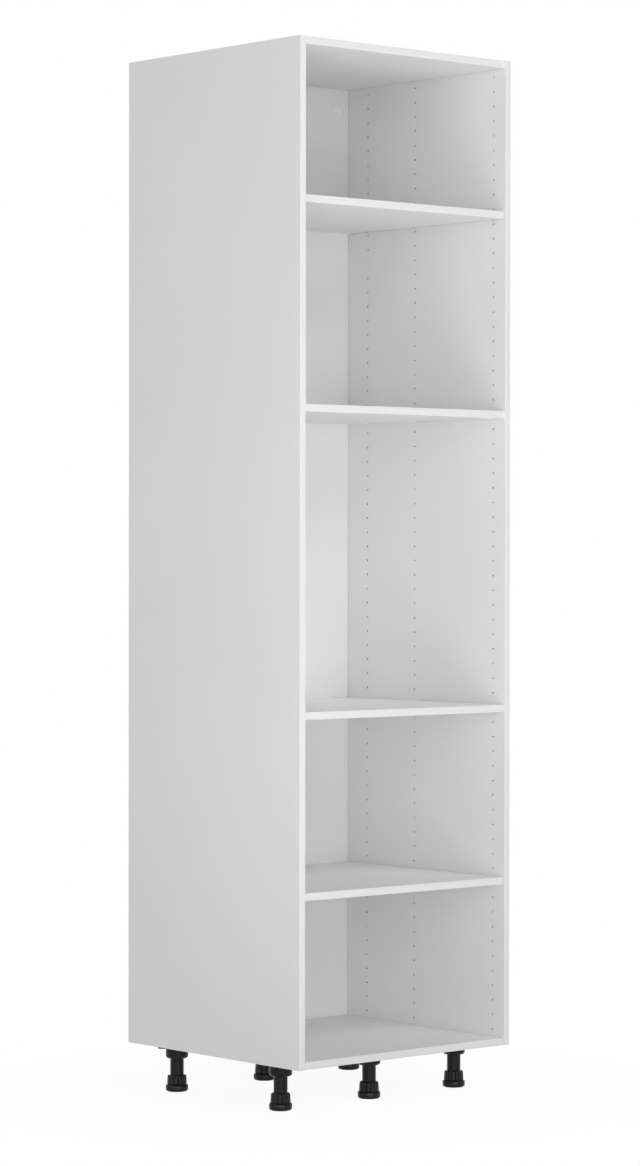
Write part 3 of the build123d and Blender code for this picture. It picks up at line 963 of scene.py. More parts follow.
@dataclass
class SidePanel:
    """Side panel with its rows of holes and the groove for the back panel."""

    name: str
    bevel: float = 0.0003

    def __post_init__(self) -> None:
        """Reads the panel's place from the CAD."""
        self.side = SIDES[self.name]
        self.node = "side_panel_" + self.name
        self.low, self.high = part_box(self.node)
        self.inner = min(abs(self.low.x), abs(self.high.x))

    def at(self, y: float, z: float, depth: float) -> Vector:
        """Place at a depth under the inner face."""
        return Vector((self.side * (self.inner + depth), y, z))

    def at_origin(self, y: float, z: float, depth: float) -> Vector:
        """Place at a depth under a like face through the origin."""
        return Vector((self.side * depth, y, z))

    def profile(self) -> list[tuple[float, float, Skin]]:
        """Outline seen from above: depth, Y, and the skin of the side that starts there."""
        coated, bare = Skin.COATED, Skin.BARE
        front, rear, thick = self.low.y, self.high.y, self.high.x - self.low.x
        back_low, back_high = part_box("back_panel")
        groove, depth = back_low.y - GROOVE_PLAY, GROOVE_DEPTH
        outline = [(0.0, rear - self.bevel, coated), (0.0, back_high.y, bare)]
        outline += [(depth, back_high.y, bare), (depth, groove, bare), (0.0, groove, coated)]
        for y in COLUMN_YS:
            outline += [(0.0, y + HOLE_PITCH / 2, Skin.BORED), (0.0, y - HOLE_PITCH / 2, coated)]
        outline += [(0.0, front, bare), (thick, front, coated), (thick, rear - self.bevel, bare)]
        return outline + [(thick - self.bevel, rear, bare), (self.bevel, rear, bare)]

    def build(self, rows: HoleRows) -> Object:
        """Builds the panel.

        Args:
            rows: The tree that sets the holes.

        Returns:
            The piece.
        """
        count = round((self.high.z - self.low.z) / HOLE_PITCH) - 1
        first = self.low.z + HOLE_PITCH
        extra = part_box("loose_shelf_upper")[0].z + PIN_DROP
        shared = first + HOLE_PITCH * round((extra - first) / HOLE_PITCH)
        split = (shared + extra) / 2
        levels = [first + HOLE_PITCH * (row - 0.5) for row in range(count + 1)]
        levels = sorted([self.low.z, *levels, split, self.high.z])
        outline = self.profile()
        form = Form()
        form.rings(
            [[self.at(y, z, depth) for depth, y, _ in outline] for z in levels],
            skin=lambda side, band: Skin.BARE if outline[side][2] is Skin.BARE else Skin.COATED,
            skip=lambda side, band: outline[side][2] is Skin.BORED and 0 < band < len(levels) - 2,
        )
        half = HOLE_PITCH / 2
        edges = (shared - half, split, shared + half)
        for y in COLUMN_YS:
            for bottom, top, z in zip(edges, edges[1:], (shared, extra)):
                form.hole_cell((y - half, bottom), (y + half, top), (y, z), self.at)
        cell = Form()
        cell.hole_cell((-half, -half), (half, half), (0.0, 0.0), self.at_origin)
        columns = bpy.data.meshes.new("columns")
        columns.from_pydata([self.at(y, first, 0.0) for y in COLUMN_YS], [], [])
        mesh = self.pierced(rows, form, cell, columns, {"Rows": count, "Left Out": shared})
        return finish_piece("tall_side_" + self.name, mesh, self.node)

    def pierced(
        self, rows: HoleRows, form: Form, cell: Form, columns: Mesh, values: dict[str, object]
    ) -> Mesh:
        """Runs the tree of holes on the panel's shell.

        Args:
            rows: The tree.
            form: The shell with its openings.
            cell: One cell with a hole.
            columns: The lowest point of each column.
            values: The tree's numbers.

        Returns:
            The closed mesh.
        """
        shell, single = form.mesh("shell"), cell.mesh("cell")
        for mesh in (shell, single):
            skins = mesh.attributes.new("skin", "INT", "FACE")
            skins.data.foreach_set("value", [face.material_index for face in mesh.polygons])
        finishes = {"Coated": Surface.BOARD, "Bare": Surface.CORE, "Bored": Surface.BORE}
        values |= {name: finish.material for name, finish in finishes.items()}
        with laid_out(columns, single) as (starts, holed):
            mesh = rows.run(shell, values | {"Columns": starts, "Cell": holed})
        form = bmesh.new()
        form.from_mesh(mesh)
        bmesh.ops.recalc_face_normals(form, faces=form.faces[:])
        form.to_mesh(mesh)
        form.free()
        return mesh


class Groove(Enum):
    """Face of a board that has the groove for the back panel."""

    NONE = 0
    ABOVE = 1
    BELOW = -1


@dataclass
class Board:
    """Board that lies between the side panels."""

    name: str
    node: str
    groove: Groove = Groove.NONE
    edges: Skin = Skin.BARE
    bevel: float = 0.0003
    end_bevel: float = 0.0007

    def profile(self) -> list[tuple[float, float, Skin]]:
        """Outline seen from the side: Y, Z, and the skin of the side that starts there."""
        low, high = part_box(self.node)
        coated, bare, edge, soft = Skin.COATED, Skin.BARE, self.edges, self.bevel
        outline = [(low.y, low.z, coated), (high.y - soft, low.z, edge), (high.y, low.z + soft, edge)]
        outline += [(high.y, high.z - soft, edge), (high.y - soft, high.z, coated), (low.y, high.z, edge)]
        if self.groove is Groove.NONE:
            return outline
        back_low, back_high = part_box("back_panel")
        front, rear = back_low.y - GROOVE_PLAY, back_high.y
        face = high.z if self.groove is Groove.ABOVE else low.z
        floor = face - self.groove.value * GROOVE_DEPTH
        if self.groove is Groove.ABOVE:
            cut = [(rear, face, bare), (rear, floor, bare), (front, floor, bare), (front, face, coated)]
            return outline[:5] + cut + outline[5:]
        cut = [(front, face, bare), (front, floor, bare), (rear, floor, bare), (rear, face, coated)]
        return outline[:1] + cut + outline[1:]

    def mesh(self) -> Mesh:
        """The board's own mesh, with the corners of its ends taken off so that each joint shows as a line."""
        low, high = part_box(self.node)
        outline = self.profile()
        rings = []
        for x, inset in soft_ends(low, high, self.end_bevel):
            rings.append([Vector((x, y, held(z, low.z + inset, high.z - inset))) for y, z, _ in outline])
        form = Form()
        form.rings(rings, skin=lambda side, band: outline[side][2] if band == 1 else self.edges)
        if self.edges is Skin.COATED:
            for face in form.mesh_data.faces:
                face.material_index = Skin.COATED.value
        return form.mesh(self.name, Surface.BOARD, Surface.CORE)

    def build(self) -> Object:
        """Builds the board as a piece."""
        return finish_piece(self.name, self.mesh(), self.node)


@dataclass
class FixedShelf(Board):
    """Board that hangs on connectors let into its underside."""

    pocket_radius: float = 0.01
    pocket_depth: float = 0.013
    end_inset: float = 0.0095

    def build(self) -> Object:
        """Builds the shelf and carves its pockets."""
        low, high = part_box(self.node)
        tool = Form()
        for side in (-1, 1):
            for y in COLUMN_YS:
                centre = side * (high.x - self.end_inset)
                outline = arc(centre, y, self.pocket_radius, 0, 360, CUT_SEGMENTS)[:-1]
                tool.prism(outline, low.z - 2 * OVERRUN, low.z + self.pocket_depth, skin=all_bare)
        mesh = carved(self.mesh(), tool.mesh("pockets", Surface.BOARD, Surface.CORE))
        return finish_piece(self.name, mesh, self.node)


@dataclass
class BackPanel:
    """Back panel with the access holes of the hangers."""

    hole_radius: float = 0.0075

    def build(self) -> Object:
        """Builds the panel and bores its holes."""
        low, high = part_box("back_panel")
        form, tool = Form(), Form()
        form.prism(rectangle(low.x, low.z, high.x, high.z), low.y, high.y, facing_front, all_bare)
        for face in form.mesh_data.faces:
            face.normal_update()
            if abs(face.normal.y) > 0.5:
                face.material_index = Skin.COATED.value
        for name in SIDES:
            cap_low, cap_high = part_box("access_cap_" + name)
            middle = (cap_low + cap_high) / 2
            outline = arc(middle.x, middle.z, self.hole_radius, 0, 360, CUT_SEGMENTS)[:-1]
            tool.prism(outline, low.y - OVERRUN, high.y + OVERRUN, facing_front, all_bare)
        mesh = form.mesh("back", Surface.BOARD, Surface.CORE)
        mesh = carved(mesh, tool.mesh("bores", Surface.BOARD, Surface.CORE))
        return finish_piece("back_board", mesh, "back_panel")


@dataclass
class EdgeBand:
    """Edge band with rounded front edges, upright or across."""

    name: str
    node: str
    radius: float = 0.0006
    end_soft: float = 0.0004

    def build(self) -> Object:
        """Builds the band; one that lies across has softened ends, so that its joints show as lines."""
        low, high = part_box(self.node)
        upright = high.z - low.z > high.x - low.x
        near, far = (low.x, high.x) if upright else (low.z, high.z)
        radius, form = self.radius, Form()
        outline = rounded([(near, high.y, 0), (near, low.y, radius), (far, low.y, radius), (far, high.y, 0)])
        if upright:
            form.prism(outline, low.z, high.z)
        else:
            rings = []
            for x, inset in soft_ends(low, high, self.end_soft):
                ring = [(z, max(y, low.y + inset)) for z, y in outline]
                rings.append([Vector((x, y, held(z, low.z + inset, high.z - inset))) for z, y in ring])
            form.rings(rings)
        return finish_piece(self.name, form.mesh(self.name, Surface.BAND_WITH_PAINTED_SHADE), self.node)


# Fittings


def column_spots(height: float, reach: float) -> list[tuple[Vector, Vector]]:
    """Spots at both ends of a shelf, at each column of holes.

    Args:
        height: Height above the floor.
        reach: Distance of the side panels' inner faces from the middle.

    Returns:
        Place and turn of each spot, with X pointing into the side panel.
    """
    turns = {1: Vector((0, 0, 0)), -1: Vector((0, 0, math.pi))}
    return [(Vector((side * reach, y, height)), turns[side]) for side in (-1, 1) for y in COLUMN_YS]


@dataclass
class Connectors:
    """Connector housings let into a fixed shelf, and the bolts that they drop over."""

    level: str
    radius: float = 0.0099
    centre: float = -0.0095
    top: float = 0.0127
    rim: float = 0.0012
    axis: float = 0.009
    neck_slot: tuple[float, float] = (0.0038, 0.0027)
    head_slot: tuple[float, float] = (0.0072, 0.0037)
    head_radius: float = 0.0035
    head_reach: tuple[float, float] = (-0.007, -0.004)
    shank_radius: float = 0.0024
    sunk: float = 0.012
    soft: float = 0.0004
    point: float = 0.0006
    chords: int = 36

    def housing(self) -> Mesh:
        """One housing: a disc cut off at the shelf's end, with a slot for the bolt's neck and head."""
        chord = math.degrees(math.acos(-self.centre / self.radius))
        outline = arc(self.centre, 0.0, self.radius, chord, 360 - chord, self.chords)
        (neck, neck_half), (head, head_half) = self.neck_slot, self.head_slot
        slot = [(0.0, -neck_half), (-neck, -neck_half), (-neck, -head_half), (-head, -head_half)]
        form = Form()
        form.prism(outline + slot + [(x, -y) for x, y in reversed(slot)], -self.rim, self.top)
        return form.mesh("housing", Surface.WHITE)

    def bolt(self) -> Mesh:
        """One bolt along X: a head and a neck in the shelf, and a shank in the side panel."""
        low, high = self.head_reach
        shank, sunk, point = self.shank_radius, self.sunk, self.point
        form = Form()
        profile = [(0, low), *disc(self.head_radius, low, high, self.soft), (shank, high)]
        form.turned(profile + [(shank, sunk - point), (shank - point, sunk), (0, sunk)], FITTING_SEGMENTS)
        return placed(form.mesh("bolt", Surface.ZINC), Matrix.Rotation(math.pi / 2, 4, "Y"))

    def build(self, rows: FittingRows) -> None:
        """Builds the six housings and the six bolts.

        Args:
            rows: The tree that sets them.
        """
        low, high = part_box("fixed_shelf_" + self.level)
        spots = column_spots(low.z, high.x)
        mesh = rows.set(self.housing(), spots, Surface.WHITE)
        finish_piece(f"housings_{self.level}", mesh, f"connector_housings_{self.level}")
        spots = column_spots(low.z + self.axis, high.x)
        mesh = rows.set(self.bolt(), spots, Surface.ZINC)
        finish_piece(f"bolts_{self.level}", mesh, f"connector_bolts_{self.level}")


@dataclass
class ShelfPins:
    """Pins with a flattened end, on which a loose shelf lies."""

    level: str
    radius: float = 0.0024
    reach: float = 0.009
    sunk: float = 0.012
    soft: float = 0.0004
    segments: int = 28

    def pin(self) -> Mesh:
        """One pin along X, flat on top where the shelf lies."""
        full, less, reach, sunk = self.radius, self.radius - self.soft, self.reach, self.sunk
        rings = []
        for x, radius in ((-reach, less), (self.soft - reach, full), (0.0, full)):
            around = arc(0.0, 0.0, radius, 0, 360, self.segments)[:-1]
            rings.append([Vector((x, a, min(b, -PIN_DROP))) for a, b in around])
        for x, radius in ((0.0, full), (sunk - self.soft, full), (sunk, less)):
            around = arc(0.0, 0.0, radius, 0, 360, self.segments)[:-1]
            rings.append([Vector((x, a, b)) for a, b in around])
        form = Form()
        form.rings(rings)
        return form.mesh("pin", Surface.ZINC)

    def build(self, rows: FittingRows) -> None:
        """Builds the six pins.

        Args:
            rows: The tree that sets them.
        """
        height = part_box("loose_shelf_" + self.level)[0].z + PIN_DROP
        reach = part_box("fixed_shelf_upper")[1].x
        mesh = rows.set(self.pin(), column_spots(height, reach), Surface.ZINC)
        finish_piece(f"pins_{self.level}", mesh, f"shelf_pins_{self.level}")


@dataclass
class AccessCap:
    """Cap over an access hole, with a notch to prise it out."""

    side: str
    flange_radius: float = 0.00875
    flange: float = 0.0012
    plug_radius: float = 0.0074
    plug: float = 0.006
    notch_width: float = 0.0034
    notch_length: float = 0.0075
    notch_depth: float = 0.003
    notch_corner: float = 0.001
    notch_turn: float = math.radians(135)
    soft: float = 0.0004
    segments: int = 48

    def build(self) -> Object:
        """Builds the cap and carves its notch."""
        low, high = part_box("access_cap_" + self.side)
        soft, flange, plug = self.soft, self.flange_radius, self.plug_radius
        profile = [(0, -self.flange), (flange - 2 * soft, -self.flange)]
        profile += arc(flange - 2 * soft, 2 * soft - self.flange, 2 * soft, -90, 0, 4)
        profile += [(flange, 0), (plug, 0), (plug, self.plug - soft), (plug - soft, self.plug)]
        cap, tool = Form(), Form()
        cap.turned(profile + [(0, self.plug)], self.segments)
        start, end, half = flange - self.notch_length, flange + OVERRUN, self.notch_width / 2
        notch = rectangle(start, -half, end, half, (self.notch_corner, 0, 0, self.notch_corner))
        tool.prism(notch, -self.flange - OVERRUN, self.notch_depth - self.flange)
        cutter = placed(tool.mesh("notch", Surface.WHITE), Matrix.Rotation(self.notch_turn, 4, "Z"))
        mesh = carved(cap.mesh("cap", Surface.WHITE), cutter)
        middle = (low + high) / 2
        mesh.transform(Matrix.Translation((middle.x, low.y + self.flange, middle.z)) @ FORWARDS)
        return finish_piece("cap_" + self.side, mesh, "access_cap_" + self.side)


@dataclass(frozen=True)
class Screw:
    """Pan-head screw on the origin, its head below and its shank up Z."""

    head_radius: float
    head: float
    shank_radius: float
    length: float

    dome_turns: ClassVar[tuple[float, ...]] = (0.0, 0.5, 0.9, 1.2, 1.4)
    point: ClassVar[float] = 0.8
    cross_half: ClassVar[float] = 0.14
    cross_reach: ClassVar[float] = 0.56
    cross_levels: ClassVar[tuple[float, float]] = (1.2, 0.35)

    def mesh(self) -> Mesh:
        """The screw with a cross recess; its point and its cross are shares of its length and its head."""
        form, tool = Form(), Form()
        radius, head, shank, length = self.head_radius, self.head, self.shank_radius, self.length
        dome = [(radius * math.sin(turn), -head * math.cos(turn)) for turn in self.dome_turns]
        profile = [*dome, (radius, 0), (shank, 0), (shank, length * self.point), (0, length)]
        form.turned(profile, FITTING_SEGMENTS)
        arm, reach = radius * self.cross_half, radius * self.cross_reach
        cross = [(arm, arm), (reach, arm), (reach, -arm), (arm, -arm), (arm, -reach), (-arm, -reach)]
        cross += [(-a, -b) for a, b in cross]
        tool.prism(cross, *(-head * level for level in self.cross_levels))
        return carved(form.mesh("screw", Surface.ZINC), tool.mesh("cross", Surface.ZINC))


@dataclass
class Hanger:
    """Hanger behind a cap: a pressed case, a hook and the screw that draws it in."""

    side: str
    sheet: float = CASE_SHEET
    guide: float = 0.0103
    plate_corner: float = 0.006
    flange_corner: float = 0.002
    guide_corner: float = 0.003
    soft: float = 0.0004
    block_length: float = 0.020
    arm_height: float = 0.006
    arm_half: float = 0.002
    nose_height: float = 0.014
    nose_length: float = 0.003
    hook_corners: tuple[float, float, float, float] = (0.001, 0.0008, 0.0015, 0.0025)
    disc_radius: float = 0.005
    head_end: float = 0.0035
    collar: tuple[float, float] = (0.0057, 0.0075)
    collar_soft: float = 0.0003
    shank_radius: float = 0.003
    point: float = 0.0006
    thread_start: float = 0.0078
    thread_pitch: float = 0.001
    thread_depth: float = 0.0004
    rows_per_turn: int = 6
    segments: int = 24
    slot_half: float = 0.0006
    slot_depth: float = 0.0015

    def case(self) -> None:
        """Builds the case."""
        low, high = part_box("hanger_case_" + self.side)
        sign = SIDES[self.side]
        inner, outer = sorted((abs(low.x), abs(high.x)))
        wall, middle = outer - self.sheet, (low.z + high.z) / 2
        reach, front, corner = self.guide + self.sheet, low.y + self.sheet, self.flange_corner
        plate = rectangle(low.y, low.z, high.y, high.z, (self.plate_corner,) * 4)
        flange = rectangle(inner, middle - reach, wall, middle + reach, (corner, 0, 0, corner))
        guide = rectangle(inner, front, wall, high.y, (0, 0, 0, self.guide_corner))
        form = Form()
        form.prism(plate, wall, outer, lambda y, z, x: Vector((sign * x, y, z)))
        form.prism(flange, low.y, front, lambda x, z, y: Vector((sign * x, y, z)))
        for edge in (-1, 1):
            levels = sorted((middle + edge * self.guide, middle + edge * reach))
            form.prism(guide, *levels, lambda x, y, z: Vector((sign * x, y, z)))
        mesh = softened(form.mesh("case", Surface.ZINC), self.soft)
        finish_piece("hanger_shell_" + self.side, mesh, "hanger_case_" + self.side)

    def hook(self) -> None:
        """Builds the nut block with its arm and nose."""
        low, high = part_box("hanger_hook_" + self.side)
        centre = (low.x + high.x) / 2
        rear = low.y + self.block_length
        form = Form()
        form.prism(rectangle(low.y, low.z, rear, high.z), low.x, high.x, facing_side)
        arm, nose, tip = high.z - self.arm_height, high.z - self.nose_height, high.y - self.nose_length
        inner, edge, point, shoulder = self.hook_corners
        outline = [(rear, arm, 0), (tip, arm, inner), (tip, nose, edge), (high.y, nose, point)]
        outline += [(high.y, high.z, shoulder), (rear, high.z, 0)]
        form.prism(rounded(outline), centre - self.arm_half, centre + self.arm_half, facing_side)
        mesh = softened(form.mesh("hook", Surface.ZINC), self.soft)
        finish_piece("hanger_claw_" + self.side, mesh, "hanger_hook_" + self.side)

    def screw(self, relief: TurnedRelief) -> None:
        """Builds the threaded screw with its driver slot.

        Args:
            relief: The tree that presses the thread.
        """
        low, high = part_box("hanger_screw_" + self.side)
        length, shank, disc_radius = high.y - low.y, self.shank_radius, self.disc_radius
        start, end = self.thread_start, length - self.point
        profile = [(0, 0), *disc(disc_radius, 0, self.head_end, self.soft), (shank, self.head_end)]
        profile += [(shank, self.collar[0]), *disc(disc_radius, *self.collar, self.collar_soft)]
        profile += [(shank, self.collar[1])]
        count = round((end - start) / self.thread_pitch * self.rows_per_turn)
        profile += [(shank, start + (end - start) * step / count) for step in range(count + 1)]
        profile += [(shank - self.point, length), (0, length)]
        form, tool = Form(), Form()
        form.turned(profile, self.segments)
        mesh = form.mesh("thread", Surface.ZINC)
        mark(mesh, "thread", lambda point: float(start < point.z <= end))
        mesh = relief.thread(mesh, self.thread_pitch, self.thread_depth, 1.0, Surface.ZINC)
        reach = disc_radius + OVERRUN
        tool.prism(rectangle(-reach, -self.slot_half, reach, self.slot_half), -OVERRUN, self.slot_depth)
        mesh = carved(mesh, tool.mesh("slot", Surface.ZINC))
        middle = (low + high) / 2
        mesh.transform(Matrix.Translation((middle.x, low.y, middle.z)) @ FORWARDS)
        finish_piece("draw_screw_" + self.side, mesh, "hanger_screw_" + self.side)


@dataclass
class HangerScrews:
    """The screws that hold the hanger cases to the side panels."""

    rise: float = 0.025
    sheet: float = CASE_SHEET
    screw: Screw = Screw(0.0045, 0.0025, 0.0025, 0.012)

    def build(self, rows: FittingRows) -> None:
        """Sets two screws in each case.

        Args:
            rows: The tree that sets them.
        """
        spots = []
        for name, sign in SIDES.items():
            low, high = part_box("hanger_case_" + name)
            middle = (low + high) / 2
            wall = sign * (max(abs(low.x), abs(high.x)) - self.sheet)
            turn = Vector((0, sign * math.pi / 2, 0))
            spots += [(Vector((wall, middle.y, middle.z + rise)), turn) for rise in (-self.rise, self.rise)]
        mesh = rows.set(self.screw.mesh(), spots, Surface.ZINC, twist=math.pi)
        finish_piece("case_screws", mesh, "hanger_fixing_screws")


# Feet


@dataclass
class Foot:
    """Adjustable foot: a socket, a tube, a fluted sleeve with its spindle, and a pad."""

    place_name: str
    segments: int = 72
    corner_chords: int = 8
    flange_chords: int = 56
    arm_chords: int = 16
    top: float = 0.1
    soft: float = 0.0004
    bore: float = 0.015
    cup_radius: float = 0.0245
    cup_low: float = 0.072
    cup_corner: float = 0.006
    cup_lip: float = 0.0005
    cup_ceiling: float = 0.095
    cup_sink: float = 0.001
    flange_radius: float = 0.033
    flange_thickness: float = 0.0035
    flange_edge: float = 0.0006
    arm_half: float = 0.012
    arm_reach: float = 0.05
    tube_radius: float = 0.0148
    tube_bore: float = 0.0102
    tube_low: float = 0.024
    tube_top: float = 0.0947
    sleeve_low: float = 0.0153
    sleeve_floor: float = 0.0185
    sleeve_radius: float = 0.0215
    sleeve_taper: float = 0.001
    sleeve_edge: float = 0.0003
    sleeve_rim: float = 0.0005
    grip_low: float = 0.0162
    shoulder: float = 0.0326
    sleeve_top: float = 0.0368
    flutes: float = 12.0
    flute_depth: float = 0.0022
    flute_sharpness: float = 2.6
    flute_limits: tuple[float, float] = (0.003, 0.0002)
    spigot_radius: float = 0.012
    spigot_low: float = 0.009
    spindle_radius: float = 0.01
    spindle_top: float = 0.0618
    spindle_point: float = 0.0008
    rows_per_turn: int = 8
    thread_pitch: float = 0.004
    thread_depth: float = 0.0011
    thread_sharpness: float = 0.8
    thread_start: float = 0.0005
    thread_limits: tuple[float, float] = (0.0005, 0.001)
    pad_radius: float = 0.0245
    pad_top: float = 0.015
    pad_corner: float = 0.005
    pad_edge: tuple[float, float, float] = (0.0018, 0.001, 0.0016)
    recess_radius: float = 0.0122
    recess_floor: float = 0.0087

    dome: ClassVar[Points] = ((0.0201, 0.0025), (0.0192, 0.0011), (0.0178, 0.0003), (0.0163, 0), (0.0155, 0))

    @property
    def centre(self) -> Vector:
        """The foot's middle on the floor."""
        low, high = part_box("foot_pad_" + self.place_name)
        return Vector(((low.x + high.x) / 2, (low.y + high.y) / 2, 0.0))

    @property
    def turn(self) -> float:
        """Direction of the socket's arm."""
        if "middle" in self.place_name:
            return math.pi / 2
        return 0.0 if "right" in self.place_name else math.pi

    def socket(self) -> Mesh:
        """Cup with a rounded lower edge, a round flange and an arm under the side panel."""
        low, cup, corner, lip, bore = self.cup_low, self.cup_radius, self.cup_corner, self.cup_lip, self.bore
        inside = self.top - self.cup_sink
        form = Form()
        profile = [(0, inside), (cup, inside)]
        profile += arc(cup - corner, low + corner, corner, 0, -90, self.corner_chords)
        profile += [(bore + lip, low), (bore, low + lip), (bore, self.cup_ceiling), (0, self.cup_ceiling)]
        form.turned(profile, self.segments)
        flange, half, edge = self.flange_radius, self.arm_half, self.flange_edge
        meet = math.degrees(math.asin(half / flange))
        outline = arc(0, 0, flange, meet, 360 - meet, self.flange_chords)
        outline += arc(self.arm_reach - half, 0, half, -90, 90, self.arm_chords)
        soft = [(a * (1 - edge / max(math.hypot(a, b), flange)), b * (1 - edge / flange)) for a, b in outline]
        bottom = self.top - self.flange_thickness
        levels = ((soft, bottom), (outline, bottom + edge), (outline, self.top))
        form.rings([[Vector((a, b, level)) for a, b in points] for points, level in levels])
        return form.mesh("socket", Surface.BLACK)

    def tube(self) -> Mesh:
        """Tube that the spindle runs up."""
        form = Form()
        radius, bore, soft = self.tube_radius, self.tube_bore, self.soft
        low, top = self.tube_low, self.tube_top
        profile = [(radius - soft, low), (radius, low + soft), (radius, top)]
        profile += [(bore, top), (bore, low + soft), (bore + soft, low)]
        form.turned(profile, self.segments, loop=True)
        return form.mesh("tube", Surface.BLACK)

    def sleeve(self, relief: TurnedRelief) -> Mesh:
        """Sleeve with pressed flutes outside, a bore for the tube and a threaded spindle in it.

        Args:
            relief: The tree that presses flutes and thread.

        Returns:
            The mesh on the origin.
        """
        form = Form()
        form.turned(self.sleeve_profile(), 2 * self.segments)
        mesh = form.mesh("sleeve", Surface.BLACK)
        mark(mesh, "flutes", self.fluted_share)
        mark(mesh, "thread", self.threaded_share)
        pressed = {"Region": "flutes", "Flutes": self.flutes, "Sharpness": self.flute_sharpness}
        mesh = relief.run(mesh, pressed | {"Depth": self.flute_depth, "Finish": Surface.BLACK.material})
        return relief.thread(mesh, self.thread_pitch, self.thread_depth, self.thread_sharpness, Surface.BLACK)

    def sleeve_profile(self) -> list[tuple[float, float]]:
        """Spigot, grip, domed shoulder, bore and spindle, from the axis round to the axis."""
        base, floor, bore, rows = self.sleeve_low, self.sleeve_floor, self.bore, self.rows_per_turn
        spigot, low, soft = self.spigot_radius, self.spigot_low, self.soft
        profile = [(0, low), (spigot - soft, low), (spigot, low + soft), (spigot, base)]
        radius, taper, rise = self.sleeve_radius, self.sleeve_taper, self.shoulder - self.grip_low
        profile += [(radius - 2 * soft, base), (radius - soft / 2, base + self.sleeve_edge)]
        for step in range(rows + 1):
            profile.append((radius - taper * step / rows, self.grip_low + rise * step / rows))
        profile += [(x, self.sleeve_top - drop) for x, drop in self.dome]
        spindle, tip, point = self.spindle_radius, self.spindle_top, self.spindle_point
        profile += [(bore, self.sleeve_top - self.sleeve_rim), (bore, floor), (spindle, floor)]
        start, end = floor + self.thread_start, tip - point
        count = round((end - floor) / self.thread_pitch * rows)
        profile += [(spindle, start + (end - start) * step / count) for step in range(count + 1)]
        return profile + [(spindle - point, tip), (0, tip)]

    def fluted_share(self, point: Vector) -> float:
        """How deep the flutes are at a point: full on the grip, and fading over the shoulder."""
        inwards, upwards = self.flute_limits
        if point.xy.length < self.sleeve_radius - inwards or point.z < self.sleeve_low + upwards:
            return 0.0
        return held((self.sleeve_top - point.z) / (self.sleeve_top - self.shoulder), 0.0, 1.0)

    def threaded_share(self, point: Vector) -> float:
        """Whether a point is on the spindle's thread."""
        outwards, upwards = self.thread_limits
        near = point.xy.length < self.spindle_radius + outwards
        return float(near and point.z > self.sleeve_floor + upwards)

    def pad(self) -> Mesh:
        """Pad with a rounded lower edge and a recess for the sleeve."""
        form = Form()
        outer, top, corner, soft = self.pad_radius, self.pad_top, self.pad_corner, self.soft
        recess, floor = self.recess_radius, self.recess_floor
        straight, bend, flat = self.pad_edge
        profile = [(0, 0), *arc(outer - corner, corner, corner, -90, 0, self.corner_chords)]
        profile += [(outer, top - straight), (outer - soft, top - bend), (outer - flat, top)]
        profile += [(recess + soft, top), (recess, top - soft), (recess, floor), (0, floor)]
        form.turned(profile, self.segments)
        return form.mesh("pad", Surface.BLACK)

    def build(self, relief: TurnedRelief) -> None:
        """Builds the foot's four pieces in place.

        Args:
            relief: The tree that presses flutes and thread.
        """
        place = Matrix.Translation(self.centre) @ Matrix.Rotation(self.turn, 4, "Z")
        made = {"socket": self.socket(), "tube": self.tube(), "sleeve": self.sleeve(relief)}
        for kind, mesh in (made | {"pad": self.pad()}).items():
            name = f"{kind}_{self.place_name}"
            mesh.transform(place)
            finish_piece("leg_" + name, mesh, "foot_" + name)


@dataclass
class FootScrews:
    """The screws that hold the sockets to the bottom."""

    circle: float = 0.0288
    flange_low: float = 0.0965
    screw: Screw = Screw(0.0033, 0.002, 0.0018, 0.0155)

    def build(self, rows: FittingRows, feet: Sequence[Foot]) -> None:
        """Sets four screws round each socket.

        Args:
            rows: The tree that sets them.
            feet: The feet.
        """
        spots = []
        for foot in feet:
            for quarter in range(4):
                turn = foot.turn + quarter * math.pi / 2
                place = foot.centre + Vector((math.cos(turn), math.sin(turn), 0)) * self.circle
                spots.append((Vector((place.x, place.y, self.flange_low)), Vector((0, 0, 0))))
        mesh = rows.set(self.screw.mesh(), spots, Surface.ZINC, twist=math.pi)
        finish_piece("socket_screws", mesh, "foot_screws")


# Studio


@dataclass(frozen=True)
class Lamp:
    """Square soft lamp.

    Attributes:
        name: Its name.
        place: Where it hangs.
        size: Its side.
        watts: Its power.
        target: What it looks at.
    """

    name: str
    place: tuple[float, float, float]
    size: float
    watts: float
    target: tuple[float, float, float] = (0.0, 0.0, 1.2)

    def hang(self) -> None:
        """Hangs the lamp, which lights the cabinet but isn't seen itself."""
        data = bpy.data.lights.new(self.name, "AREA")
        data.shape, data.size, data.energy = "SQUARE", self.size, self.watts
        lamp = bpy.data.objects.new(self.name, data)
        bpy.context.scene.collection.objects.link(lamp)
        lamp.location = self.place
        lamp.rotation_euler = (Vector(self.target) - Vector(self.place)).to_track_quat("-Z", "Y").to_euler()
        lamp.visible_camera = False


LAMPS = (
    Lamp("beside the camera", (-11.0, -12.0, 3.0), 8.0, 550.0),
    Lamp("high in front", (0.0, -12.0, 10.0), 8.0, 850.0),
    Lamp("far left", (-16.0, -1.0, 3.0), 10.0, 400.0),
    Lamp("low in front", (-1.5, -5.0, 0.4), 1.6, 55.0),
    Lamp("behind on the right", (9.0, 12.0, 5.0), 8.0, 700.0),
    Lamp("light off the floor", (-1.6, -2.2, 0.02), 2.4, 40.0, (-1.6, -2.2, 1.0)),
)


